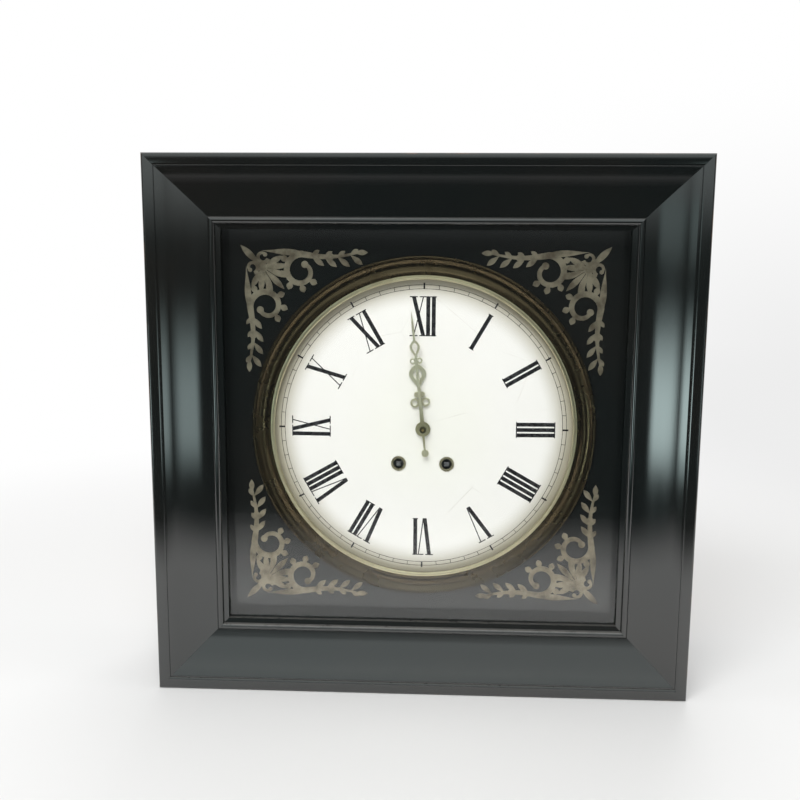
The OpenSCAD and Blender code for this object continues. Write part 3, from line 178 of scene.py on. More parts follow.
class ClockView(bpy.types.PropertyGroup):
    """Camera, floor and light."""

    camera_side: length("Camera, sideways", 0.0652 * HALF_WIDTH, "Camera to the right of the middle")
    camera_distance: length("Camera distance", 3.3463 * HALF_WIDTH, "Camera in front of the door")
    camera_rise: length("Camera height", 0.6651 * HALF_WIDTH, "Camera above the middle of the clock")
    camera_yaw: angle("Camera yaw", 2.50, "Turn of the camera to the left")
    camera_pitch: angle("Camera pitch", -9.045, "Tilt of the camera, downwards if negative")
    camera_roll: angle("Camera roll", -0.347, "Roll of the camera")
    lens: amount("Lens", 42.3, "Focal length in millimetres")
    floor_front: length("Front of the lit floor", 0.60, "Where the floor ends for all but the camera")
    floor_reach: length("Reach of the floor", 5.0, "How far the floor runs on every side")
    backdrop: amount("Backdrop", 1.0, "Brightness of the background")
    daylight: amount("Daylight", 0.42, "Soft light from all round")
    key_power: amount("Key light", 42.0, "Power of the soft box above the camera, in watts")
    fill_power: amount("Side lights", 9.0, "Power of the soft boxes at the sides, in watts")
    window_left: amount("Left window", 5.0, "Brightness of the window that the right stile mirrors")
    window_right: amount("Right window", 2.05, "Brightness of the window that the left stile mirrors")
    window_tint: colour("Window tint", (0.80, 1.0, 0.99), "Cool daylight of the two windows")
    upper_glow: amount("Upper glow", 0.85, "Soft brightness in front, which the bottom rail mirrors")
    room_dark: amount("Dark of the room", 0.05, "Brightness of the unlit room, which the panel mirrors")


def colours():
    return bpy.context.scene.clock_colours


def sizes():
    return bpy.context.scene.clock_sizes


def view():
    return bpy.context.scene.clock_view


class Number:
    """A number out of a shader node, which takes part in plain arithmetic."""

    def __init__(self, tree, socket):
        self.tree, self.socket = tree, socket

    def __add__(self, other):
        return self.tree.math("ADD", self, other)

    def __sub__(self, other):
        return self.tree.math("SUBTRACT", self, other)

    def __rsub__(self, other):
        return self.tree.math("SUBTRACT", other, self)

    def __mul__(self, other):
        return self.tree.math("MULTIPLY", self, other)

    def __truediv__(self, other):
        return self.tree.math("DIVIDE", self, other)

    def __neg__(self):
        return self.tree.math("MULTIPLY", self, -1.0)

    def __abs__(self):
        return self.tree.math("ABSOLUTE", self)

    __radd__ = __add__
    __rmul__ = __mul__


class NodeTree:
    """Builds a shader node tree. One method makes nodes from plain values, sockets and Numbers."""

    def __init__(self, owner, output):
        owner.use_nodes = True
        self.tree = owner.node_tree
        self.tree.nodes.clear()
        self.output = self.tree.nodes.new(output)

    def node(self, kind, settings=None, inputs=None, out=0):
        """Makes a node from its settings and inputs, and gives one output socket."""
        made = self.tree.nodes.new(kind)
        for name, value in (settings or {}).items():
            setattr(made, name, value)
        for name, value in (inputs or {}).items():
            self.feed(made.inputs[name], value)
        return made.outputs[out]

    def feed(self, socket, value):
        """Links a socket or a Number, or writes a plain value."""
        if isinstance(value, Number):
            value = value.socket
        if isinstance(value, bpy.types.NodeSocket):
            self.tree.links.new(value, socket)
        elif socket.type == "RGBA":
            socket.default_value = (*tuple(value)[:3], 1.0)
        else:
            socket.default_value = value

    def math(self, operation, *values):
        inputs = dict(enumerate(values))
        return Number(self, self.node("ShaderNodeMath", {"operation": operation}, inputs))

    def split(self, vector):
        """The three parts of a vector as Numbers."""
        made = self.node("ShaderNodeSeparateXYZ", None, {0: vector}).node
        return [Number(self, socket) for socket in made.outputs]

    def place(self):
        """Object coordinates, which are metres of the shared frame, as every piece sits at its origin."""
        return self.node("ShaderNodeTexCoord", out="Object")

    def stretch(self, vector, scale):
        return self.node("ShaderNodeMapping", None, {"Vector": vector, "Scale": scale})

    def noise(self, vector, scale, detail=3.0, rough=0.6):
        inputs = {"Vector": vector, "Scale": scale, "Detail": detail, "Roughness": rough}
        return Number(self, self.node("ShaderNodeTexNoise", None, inputs))

    def cracks(self, vector, scale):
        """Distance to the nearest edge between random cells."""
        inputs = {"Vector": vector, "Scale": scale}
        return Number(self, self.node("ShaderNodeTexVoronoi", {"feature": "DISTANCE_TO_EDGE"}, inputs))

    def ease(self, value, low, high, start=0.0, end=1.0):
        """Goes smoothly from start to end as value goes from low to high."""
        inputs = {"Value": value, "From Min": low, "From Max": high, "To Min": start, "To Max": end}
        return Number(self, self.node("ShaderNodeMapRange", {"interpolation_type": "SMOOTHSTEP"}, inputs))

    def mix(self, factor, first, second):
        """A colour between two colours."""
        inputs = {0: factor, 6: first, 7: second}
        return self.node("ShaderNodeMix", {"data_type": "RGBA"}, inputs, 2)

    def mix_shader(self, factor, first, second):
        return self.node("ShaderNodeMixShader", None, {0: factor, 1: first, 2: second})

    def ray(self, kind):
        """1 for rays of one kind, such as "Is Camera Ray"."""
        return Number(self, self.node("ShaderNodeLightPath", out=kind))


class Finish(NodeTree):
    """One material."""

    def __init__(self, name):
        self.material = bpy.data.materials.new(name)
        super().__init__(self.material, "ShaderNodeOutputMaterial")

    def bump(self, height, strength, depth):
        inputs = {"Height": height, "Strength": strength, "Distance": depth}
        return self.node("ShaderNodeBump", None, inputs)

    def principled(self, **inputs):
        named = {name.replace("_", " "): value for name, value in inputs.items()}
        return self.node("ShaderNodeBsdfPrincipled", None, named)

    def close(self, shader):
        self.feed(self.output.inputs["Surface"], shader)
        return self.material

    def surface(self, base, rough, height, strength, depth, **more):
        """Closes the material with one shader whose bump is so many metres deep."""
        bump = self.bump(height, strength, depth)
        return self.close(self.principled(Base_Color=base, Roughness=rough, Normal=bump, **more))


def distance(tree, across, along):
    """The length of a flat vector with two parts."""
    return tree.math("SQRT", across * across + along * along)


def dial_radius(tree):
    """Distance from the dial's axis."""
    x, _, z = tree.split(tree.place())
    return distance(tree, x - DIAL_CENTRE.x, z - DIAL_CENTRE.z)


# Mapping scales that stretch a pattern along one direction
GRAIN_ALONG_X = (0.035, 1.0, 1.0)
GRAIN_ALONG_Z = (1.0, 1.0, 0.035)
SCRATCHED_X = (0.1, 1.0, 1.0)
SCRATCHED_Z = (1.0, 1.0, 0.08)

# Shades that dirt, wear and age mix into the colours of the settings
BARE_WOOD = (0.11, 0.055, 0.024)
PINE_AGED = (0.15, 0.085, 0.042)
PINE_STREAK = (0.13, 0.07, 0.034)
PINE_FIBRE = (0.10, 0.055, 0.026)
PINE_SEAM = (0.03, 0.018, 0.01)
ENAMEL_CLOUD = (0.86, 0.85, 0.79)
ENAMEL_IVORY = (0.88, 0.89, 0.80)
HAIRLINE = (0.42, 0.38, 0.32)
INK_PALE = (0.035, 0.033, 0.032)
STEEL_STAIN = (0.10, 0.08, 0.07)
STEEL_RUST = (0.09, 0.06, 0.045)
BLUED = (0.10, 0.10, 0.11)
BLUED_BROWN = (0.05, 0.04, 0.03)

POLISH_IOR = 1.82
PANEL_IOR = 1.55
GLASS_IOR = 1.5
PORE_DEPTH = 0.0000015
WAVE_DEPTH = 0.00005
RUBBED_FROM, RUBBED_TO = 0.0016, 0.0002
RING_PITCH = 1500.0
SCRATCH_DEPTH = 0.000003


def french_polish(name, grain, edge_wear=1.0, gloss=POLISH_IOR, dust_and_reflection_share=0.35):
    """Black polish on fine-grained wood: filled pores, slow waves, haze, brown rubbed edges, and dust on
    upward faces that also serves as a painted reflection of the pale floor.
    """
    f = Finish(name)
    place = f.place()
    lengthwise = f.stretch(place, grain)
    fibres = f.noise(lengthwise, 1500.0)
    cloud = f.noise(place, 7.0, 4.0, 0.55)
    smears = f.noise(lengthwise, 60.0)
    waves = f.noise(place, 14.0, 2.0, 0.45)
    x, y, z = f.split(place)
    rubbed = (HALF_WIDTH - RUBBED_FROM, HALF_WIDTH - RUBBED_TO)
    side = f.ease(abs(x), *rubbed)
    ends = f.ease(abs(z - DIAL_CENTRE.z), *rubbed)
    fore = f.ease(y, FRONT + 0.0018, FRONT + 0.0003)
    corner = f.math("MAXIMUM", side * ends, fore * (side + ends))
    wear = corner * f.ease(f.noise(place, 55.0, 4.0, 0.65), 0.50, 0.68) * edge_wear
    base = f.mix(f.ease(cloud, 0.35, 0.75) * 0.35, colours().polish, colours().polish_brown)
    worn = f.mix(f.math("MINIMUM", wear, 1.0), base, BARE_WOOD)
    # Dust and painted reflection: faces that look upwards are lightened towards the dust colour
    upwards = f.split(f.node("ShaderNodeNewGeometry", out="Normal"))[2]
    flecks = f.ease(f.noise(place, 90.0, 4.0, 0.7), 0.25, 0.6, 0.5, 1.0)
    dust_and_painted_reflection = f.ease(upwards, 0.30, 0.75) * flecks * dust_and_reflection_share
    with_dust_and_reflection = f.mix(dust_and_painted_reflection, worn, colours().dust_and_painted_reflection)
    rough = 0.055 + f.ease(smears, 0.3, 0.8) * 0.035 + cloud * 0.02 + wear * 0.25 + dust_and_painted_reflection * 0.3
    height = f.ease(fibres, 0.35, 0.62) * PORE_DEPTH + waves * WAVE_DEPTH
    return f.surface(with_dust_and_reflection, rough, height, 1.0, 1.0, IOR=gloss)


def plain_wood(name, grain, boards=3):
    """Planed softwood: flat-sawn boards with arched growth lines, aged brown and a little dirty."""
    f = Finish(name)
    place = f.place()
    lengthwise = f.stretch(place, grain)
    x, _, z = f.split(place)
    across, along = (x, z) if grain == GRAIN_ALONG_Z else (z, x)
    wide = 2 * HALF_WIDTH / boards
    board = f.math("FLOOR", (across + HALF_WIDTH) / wide)
    middle = (board + 0.5) * wide - HALF_WIDTH
    sway = f.noise(f.stretch(place, tuple(0.5 * g for g in grain)), 8.0, 2.0, 0.5) - 0.5
    drift = f.math("SINE", board * 2.3 + 1.0)
    u = across - middle + drift * 0.03 + sway * 0.05
    v = 0.02 + (along + board * 0.21 - 0.1) * (drift * 0.12 + 0.14) + sway * 0.02
    depth = distance(f, u, v)
    uneven = f.noise(lengthwise, 26.0, 2.0, 0.5)
    crowded = f.noise(f.stretch(place, tuple(0.2 * g for g in grain)), 40.0, 1.0, 0.5)
    rings = f.math("SINE", (depth + uneven * 0.012 + crowded * 0.006) * RING_PITCH)
    lines = f.ease(rings, -0.4, 1.0)
    fibres = f.noise(lengthwise, 1300.0)
    streaks = f.noise(lengthwise, 90.0)
    blotch = f.noise(place, 7.0, 4.0)
    base = f.mix(lines * (0.25 + f.ease(blotch, 0.3, 0.7) * 0.3), colours().pine, colours().pine_dark)
    aged = f.mix(f.ease(blotch, 0.35, 0.8) * 0.45, base, PINE_AGED)
    streaked = f.mix(f.ease(streaks, 0.45, 0.8) * 0.4, aged, PINE_STREAK)
    shaded = f.mix(f.ease(fibres, 0.45, 0.8) * 0.35, streaked, PINE_FIBRE)
    seam = f.ease(abs(abs(across - middle) - wide / 2), 0.0009, 0.0002) * (0.0 if boards == 1 else 0.8)
    joined = f.mix(seam, shaded, PINE_SEAM)
    height = fibres * 0.6 + lines * 0.5 - seam * 3
    return f.surface(joined, 0.55 + fibres * 0.2, height, 0.5, 0.0001)


def metal(name, bright, dark, roughness, scratch=(1.0, 1.0, 1.0), tarnish=0.5, depth=0.00003):
    """Metal with fine scratches along one direction and clouds of tarnish."""
    f = Finish(name)
    place = f.place()
    hairs = f.noise(f.stretch(place, scratch), 2600.0, 2.0)
    clouds = f.ease(f.noise(place, 38.0, 5.0, 0.62), 0.36, 0.70)
    spots = f.ease(f.noise(place, 210.0), 0.60, 0.74)
    stained = clouds * tarnish + spots * tarnish * 0.5
    base = f.mix(f.math("MINIMUM", stained, 1.0), bright, dark)
    rough = roughness + stained * 0.16 + hairs * 0.08
    return f.surface(base, rough, hairs, 0.35, depth, Metallic=1.0)


def turned_metal(name, bright, dark, roughness, pitch, tarnish=0.4):
    """Metal turned on a lathe, with fine rings round the dial's axis."""
    f = Finish(name)
    cloud = f.noise(f.place(), 30.0, 5.0)
    rings = f.math("SINE", dial_radius(f) * (2 * math.pi / pitch))
    stained = f.ease(cloud, 0.38, 0.72) * tarnish
    base = f.mix(stained, bright, dark)
    return f.surface(base, roughness + stained * 0.2, rings, 0.05, 0.00002, Metallic=1.0)


def worn_gilding(name):
    """Gilding of the hands: pale towards the points, rubbed and olive round the hub, finely scratched."""
    f = Finish(name)
    place = f.place()
    cloud = f.noise(place, 70.0, 4.0)
    hairs = f.noise(f.stretch(place, (1.0, 1.0, 0.1)), 2600.0, 2.0)
    rubbed = f.ease(dial_radius(f), 0.030, 0.004)
    pale = f.mix(f.ease(cloud, 0.36, 0.72) * 0.25, colours().hands, colours().tarnish)
    base = f.mix(rubbed, pale, colours().hands_hub)
    rough = 0.40 + f.ease(cloud, 0.4, 0.7) * 0.12 + hairs * 0.08
    return f.surface(base, rough, hairs, 0.35, SCRATCH_DEPTH, Metallic=1.0)


def inlay(name):
    """Cut brass set on the panel: fine scratches, and clouds of dark tarnish."""
    f = Finish(name)
    place = f.place()
    cloud = f.noise(place, 60.0, 4.0)
    hairs = f.noise(f.stretch(place, (1.0, 1.0, 0.25)), 900.0)
    stained = f.ease(cloud, 0.34, 0.72)
    base = f.mix(stained, colours().inlay, colours().inlay_dark)
    return f.surface(base, 0.36 + stained * 0.16, hairs, 0.4, 0.00008, Metallic=0.85)


def enamel(name):
    """White vitreous enamel: glossy, faintly clouded, with hairlines, greyed and yellowed towards the rim
    by painted shade and by age.
    """
    f = Finish(name)
    place = f.place()
    radius = dial_radius(f)
    cloud = f.noise(place, 16.0, 4.0, 0.5)
    broken = f.noise(place, 30.0, 2.0, 0.5)
    hair = f.ease(f.cracks(f.stretch(place, (1.0, 0.0, 1.0)), 19.0), 0.0012, 0.004, 1.0, 0.0)
    faint = hair * f.ease(broken, 0.52, 0.66) * 0.35
    # Painted shade towards the rim, together with the enamel's yellowing there
    rim = f.ease(radius, DIAL_R * 0.79, DIAL_R * 0.99)
    middle = f.ease(radius, DIAL_R * 0.62, DIAL_R * 0.2) * 0.5
    clean = f.mix(f.ease(cloud, 0.3, 0.8) * 0.25, colours().enamel, ENAMEL_CLOUD)
    ivory = f.mix(middle, clean, ENAMEL_IVORY)
    shaded = f.mix(rim, ivory, colours().rim_painted_shade)
    base = f.mix(faint, shaded, HAIRLINE)
    return f.surface(base, 0.10 + cloud * 0.05, cloud, 0.06, 0.0006, IOR=GLASS_IOR)


def fired_black(name):
    """Black fired into the enamel, very slightly uneven."""
    f = Finish(name)
    cloud = f.noise(f.place(), 240.0)
    base = f.mix(f.ease(cloud, 0.4, 0.8) * 0.5, colours().ink, INK_PALE)
    return f.close(f.principled(Base_Color=base, Roughness=0.22 + cloud * 0.1))


def window_glass(name):
    """Flat clear glass. What is seen through it is bent, and all other light goes straight through."""
    f = Finish(name)
    ripple = f.noise(f.place(), 5.0, 1.0, 0.4)
    clear = {"Base_Color": (1, 1, 1), "Roughness": 0.0, "IOR": GLASS_IOR, "Transmission_Weight": 1.0}
    pane = f.principled(**clear, Normal=f.bump(ripple, 0.02, 0.001))
    open_way = f.node("ShaderNodeBsdfTransparent", None, {"Color": (0.98, 0.985, 0.98)})
    looked_through = f.math("MAXIMUM", f.ray("Is Camera Ray"), f.ray("Is Transmission Ray"))
    return f.close(f.mix_shader(looked_through, open_way, pane))


def coat(material, *names):
    """Puts one material on CAD nodes or new pieces."""
    for name in names:
        piece = bpy.data.objects[name]
        piece.data.materials.clear()
        piece.data.materials.append(material)


def pick(piece):
    """Deselects everything, then selects one piece and makes it active."""
    bpy.ops.object.select_all(action="DESELECT")
    piece.select_set(True)
    bpy.context.view_layer.objects.active = piece


def start_from(primitive, **settings):
    """A primitive to shape, added with nothing else selected."""
    bpy.ops.object.select_all(action="DESELECT")
    primitive(**settings)
    return bpy.context.object


def edit_all(piece):
    """Opens a piece in edit mode with all of it selected."""
    pick(piece)
    bpy.ops.object.mode_set(mode="EDIT")
    bpy.ops.mesh.select_all(action="SELECT")


def duplicate(piece):
    """A copy with its own mesh."""
    copy = piece.copy()
    copy.data = piece.data.copy()
    bpy.context.scene.collection.objects.link(copy)
    return copy


def name_piece(piece, name):
    """Gives a piece and its mesh one name."""
    piece.name = name
    piece.data.name = name


def join(pieces, name):
    """One piece made of several."""
    pick(pieces[0])
    for piece in pieces:
        piece.select_set(True)
    bpy.ops.object.join()
    name_piece(pieces[0], name)
    return pieces[0]


def settle(piece):
    """Applies place, turn and scale, so that the piece's object sits at the origin."""
    pick(piece)
    bpy.ops.object.transform_apply(location=True, rotation=True, scale=True)


def add_modifier(piece, kind, **settings):
    """Adds a modifier and applies it at once."""
    pick(piece)
    modifier = piece.modifiers.new(kind.title(), kind)
    for name, value in settings.items():
        setattr(modifier, name, value)
    bpy.ops.object.modifier_apply(modifier=modifier.name)


def round_edges(piece, width, segments=2):
    """Bevels a piece's sharp edges and shades the rest smoothly."""
    limit = {"limit_method": "ANGLE", "angle_limit": BEVELLED_ANGLE}
    add_modifier(piece, "BEVEL", width=width, segments=segments, **limit)
    bpy.ops.object.shade_smooth_by_angle(angle=SMOOTH_ANGLE)


def cut_slot(piece, middle, turn):
    """Cuts a screw slot across a round head whose face looks along y."""
    s = sizes()
    cutter = start_from(bpy.ops.mesh.primitive_cube_add, size=1, location=middle, rotation=(0, turn, 0))
    cutter.scale = (CUTTER_LENGTH, 2 * s.slot_depth, s.slot_width)
    add_modifier(piece, "BOOLEAN", object=cutter, operation="DIFFERENCE", solver="EXACT")
    bpy.data.objects.remove(cutter)


def by_the_bars(sides, depth):
    """The middles of four screw heads, at two places on each of the bars."""
    heights = (DIAL_CENTRE.z - BAR_HEIGHT, DIAL_CENTRE.z + BAR_HEIGHT)
    return [Vector((x, depth, z)) for x in sides for z in heights]


def softened(node, width, material, segments=2, slots=()):
    """A copy of a CAD node with rounded edges, and slots in its screw heads, that stands for it."""
    piece = duplicate(NODES[node])
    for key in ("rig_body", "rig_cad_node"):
        if key in piece:
            del piece[key]
    piece.parent = None
    name_piece(piece, node + "_finished")
    edit_all(piece)
    bpy.ops.mesh.remove_doubles(threshold=CAD_MERGE)
    bpy.ops.mesh.dissolve_limited(angle_limit=FLAT_ANGLE)
    bpy.ops.object.mode_set(mode="OBJECT")
    for number, middle in enumerate(slots):
        cut_slot(piece, middle, FIRST_SLOT + NEXT_SLOT * number)
    pick(piece)
    bpy.ops.object.shade_flat()
    round_edges(piece, width, segments)
    add_modifier(piece, "WEIGHTED_NORMAL", keep_sharp=True, weight=100)
    stand_for(piece, node, material)


def slot_of(node):
    """The record's material slot of a CAD node."""
    return next(part["material_slot"] for part in frame["record"]["subparts"] if part["node"] == node)


def stand_for(piece, node, material):
    """Finishes a piece and lets it stand for a CAD node."""
    coat(material, piece.name)
    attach(piece, NODES[node]["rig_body"])
    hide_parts(node)
    slot_of(node)


def arc(centre, radius, start, end, steps):
    """Points of an arc, as radius and depth. Angles are in degrees, from outwards towards the front."""
    angles = [math.radians(start + (end - start) * i / steps) for i in range(steps + 1)]
    return [(centre[0] + radius * math.cos(a), centre[1] - radius * math.sin(a)) for a in angles]


def turned(name, outline, steps=240):
    """A turned piece. Its closed outline is drawn point by point and spun about the dial's axis."""
    piece = start_from(bpy.ops.mesh.primitive_plane_add, size=MM)
    name_piece(piece, name)
    edit_all(piece)
    bpy.ops.mesh.merge(type="CENTER")
    centre = Vector((DIAL_CENTRE.x, 0, DIAL_CENTRE.z))
    points = [centre + Vector((radius, depth, 0)) for radius, depth in outline]
    bpy.ops.transform.translate(value=points[0])
    for last, point in zip(points, points[1:] + points[:1]):
        bpy.ops.mesh.extrude_vertices_move(TRANSFORM_OT_translate={"value": point - last})
    bpy.ops.mesh.select_all(action="SELECT")
    bpy.ops.mesh.remove_doubles(threshold=MERGE)
    bpy.ops.mesh.spin(steps=steps, angle=2 * math.pi, center=centre, axis=(0, 1, 0))
    bpy.ops.mesh.select_all(action="SELECT")
    bpy.ops.mesh.remove_doubles(threshold=MERGE)
    bpy.ops.mesh.normals_make_consistent(inside=False)
    bpy.ops.object.mode_set(mode="OBJECT")
    bpy.ops.object.shade_smooth_by_angle(angle=SMOOTH_ANGLE)
    return piece


class CLOCK_OT_stage(bpy.types.Operator):
    """Pale floor, soft light and a camera at the photograph's angle"""

    bl_idname = "clock.stage"
    bl_label = "Stage"

    # Bearings and heights in degrees, as seen from the clock: start, full, still full, end
    RIGHT_WINDOW = ((14, 18.5, 25.5, 32.5), (-14, -10.8, -9, -2))
    LEFT_WINDOW = ((16.5, 21, 28, 35), (-14, -10.8, -9, -2))
    UPPER_PANE = ((16.5, 21, 28, 35), (-1.6, 0.4, 1.6, 3.6))
    GLOW = ((-50, -24, 24, 50), (0, 5, 62, 80))
    UPPER_PANE_SHARE = 0.11

    # Distances on the floor in metres, where each of these starts and is complete
    FLOOR_PALES = (0.42, 1.1)
    FLOOR_VANISHES = (1.4, 3.6)
    FLOOR_DARKENS = (-0.36, -0.60)
    FLOOR_UNLIT = (0.04, 0.04, 0.04)

    def execute(self, context):
        self.set_camera(context)
        self.lay_floor()
        self.set_surroundings(context)
        self.hang_lamps()
        return {"FINISHED"}

    def set_camera(self, context):
        v = view()
        camera = bpy.data.objects.new("camera", bpy.data.cameras.new("camera"))
        context.scene.collection.objects.link(camera)
        camera.data.lens = v.lens
        turn = (
            Matrix.Rotation(v.camera_yaw, 4, "Z")
            @ Matrix.Rotation(v.camera_pitch, 4, "X")
            @ Matrix.Rotation(v.camera_roll, 4, "Y")
            @ Matrix.Rotation(math.pi / 2, 4, "X")
        )
        spot = Vector((v.camera_side, FRONT - v.camera_distance, DIAL_CENTRE.z + v.camera_rise))
        camera.matrix_world = Matrix.Translation(spot) @ turn
        context.scene.camera = camera

    def lay_floor(self):
        """Pale paper that fades into the backdrop for the camera, with painted shade towards the right and
        the front, and ends in front for other rays.
        """
        v = view()
        floor = start_from(bpy.ops.mesh.primitive_plane_add, size=2 * v.floor_reach)
        floor.name = "floor"
        f = Finish("pale_paper")
        x, y, _ = f.split(f.place())
        far = distance(f, x, y)
        camera = f.ray("Is Camera Ray")
        fade = f.ease(far, *self.FLOOR_PALES) * camera
        unlit = f.ease(y, *self.FLOOR_DARKENS) * f.ray("Is Glossy Ray")
        seen = f.mix(camera, colours().floor, colours().floor_seen)
        shade = f.mix(unlit, seen, self.FLOOR_UNLIT)
        paper = f.principled(Base_Color=shade, Roughness=0.6)
        # Painted shade on the glowing paper: darker towards the right and towards the front
        pale = 1.0 - f.ease(x, -0.1, 0.7) * 0.15 - f.ease(y, 0.4, -0.5) * 0.13
        glow = f.node("ShaderNodeEmission", None, {"Color": (1, 1, 1), "Strength": pale})
        beyond = f.node("ShaderNodeBsdfTransparent")
        front = f.ease(y, -v.floor_front, -v.floor_front - MM)
        gone = f.ease(far, *self.FLOOR_VANISHES) * camera + front * (1 - camera)
        near = f.mix_shader(fade, paper, glow)
        floor.data.materials.append(f.close(f.mix_shader(gone, near, beyond)))

    def set_surroundings(self, context):
        """White behind the clock, with painted shade towards the lower right. In front a dark room with a
        glow, and a window on each side.
        """
        v = view()
        world = bpy.data.worlds.new("surroundings")
        context.scene.world = world
        w = NodeTree(world, "ShaderNodeOutputWorld")
        x, y, z = w.split(w.node("ShaderNodeTexCoord", out="Generated"))
        bearing = w.math("ARCTAN2", x, -y)
        rise = w.math("ARCSINE", z)
        room = w.ease(y, -0.55, 0.15, v.room_dark, v.backdrop)
        high = w.ease(z, 0.55, 0.9, 0.0, 0.8)
        above = self.patch(w, bearing, rise, *self.GLOW) * v.upper_glow
        right = self.patch(w, bearing, rise, *self.RIGHT_WINDOW) * v.window_right
        left = self.patch(w, -bearing, rise, *self.LEFT_WINDOW) * v.window_left
        upper = self.patch(w, -bearing, rise, *self.UPPER_PANE) * v.window_left * self.UPPER_PANE_SHARE
        windows = right + left + upper
        mirrored = w.math("MAXIMUM", room, high) + above + windows
        camera = w.ray("Is Camera Ray")
        mirror = w.math("MAXIMUM", w.ray("Is Glossy Ray"), w.ray("Is Transmission Ray"))
        # Painted shade on the backdrop: darker towards the right and low down
        paler = v.backdrop - w.ease(x, 0.0, 0.36) * w.ease(z, 0.18, -0.14) * (0.15 * v.backdrop)
        strength = camera * paler + (1 - camera) * (mirror * mirrored + (1 - mirror) * v.daylight)
        cool = w.math("MINIMUM", windows * 4 + w.ease(y, -0.2, -0.7, 0.0, 0.45), 1.0)
        tint = w.mix(cool * mirror, (1, 1, 1), v.window_tint)
        glow = w.node("ShaderNodeBackground", None, {"Color": tint, "Strength": strength})
        w.feed(w.output.inputs["Surface"], glow)

    def patch(self, w, bearing, rise, wide, tall):
        """A soft-edged patch of the room, 1 inside it and 0 outside."""
        shares = []
        for value, span in ((bearing, wide), (rise, tall)):
            start, full, last, end = (math.radians(degrees) for degrees in span)
            shares.append(w.ease(value, start, full) * w.ease(value, end, last))
        return shares[0] * shares[1]

    def hang_lamps(self):
        v = view()
        self.lamp("key_light", (-0.35, FRONT - 1.25, 1.75), (1.5, 1.0), v.key_power)
        self.lamp("left_light", (-1.9, -0.2, 0.9), (1.2, 1.2), v.fill_power)
        self.lamp("right_light", (1.9, -0.2, 0.9), (1.2, 1.2), v.fill_power)
        self.lamp("back_light", (0.3, 1.6, 1.5), (1.4, 1.0), v.fill_power * 2)

    def lamp(self, name, place, size, power):
        """A soft box that looks at the middle of the clock's front and isn't mirrored in it."""
        aim = Vector((0, FRONT, DIAL_CENTRE.z))
        data = bpy.data.lights.new(name, "AREA")
        data.shape = "RECTANGLE"
        data.size, data.size_y = size
        data.energy = power
        lamp = bpy.data.objects.new(name, data)
        bpy.context.scene.collection.objects.link(lamp)
        lamp.location = place
        lamp.rotation_euler = (aim - Vector(place)).to_track_quat("-Z", "Y").to_euler()
        lamp.visible_glossy = False


class CLOCK_OT_case(bpy.types.Operator):
    """Black polished case, door and panel, with rounded edges"""

    bl_idname = "clock.case"
    bl_label = "Case and door"

    def execute(self, context):
        lying = french_polish("polish_lying", GRAIN_ALONG_X)
        standing = french_polish("polish_standing", GRAIN_ALONG_Z)
        edge = sizes().soft_edge
        for node in ("case_top", "case_bottom", "door_rail_top"):
            softened(node, edge, lying)
        # The bottom rail gets the most dust, which is partly real dust and partly a painted reflection of
        # the pale floor
        softened("door_rail_bottom", edge, french_polish("polish_sill", GRAIN_ALONG_X, dust_and_reflection_share=1.0))
        for node in ("case_left", "case_right", "door_stile_left", "door_stile_right"):
            softened(node, edge, standing)
        panel = french_polish("polish_panel", GRAIN_ALONG_X, edge_wear=0.0, gloss=PANEL_IOR, dust_and_reflection_share=0.0)
        coat(panel, "dial_panel", "glazing_beads")
        return {"FINISHED"}


class CLOCK_OT_back(bpy.types.Operator):
    """Plain wood of the back board, its door and the strips inside"""

    bl_idname = "clock.back"
    bl_label = "Back"

    def execute(self, context):
        softened("back_board", sizes().soft_edge, plain_wood("back_boards", GRAIN_ALONG_Z))
        softened("back_door", sizes().soft_edge, plain_wood("back_door_wood", GRAIN_ALONG_Z, boards=1))
        coat(plain_wood("cleat_wood", GRAIN_ALONG_X, boards=1), "panel_cleats")
        return {"FINISHED"}


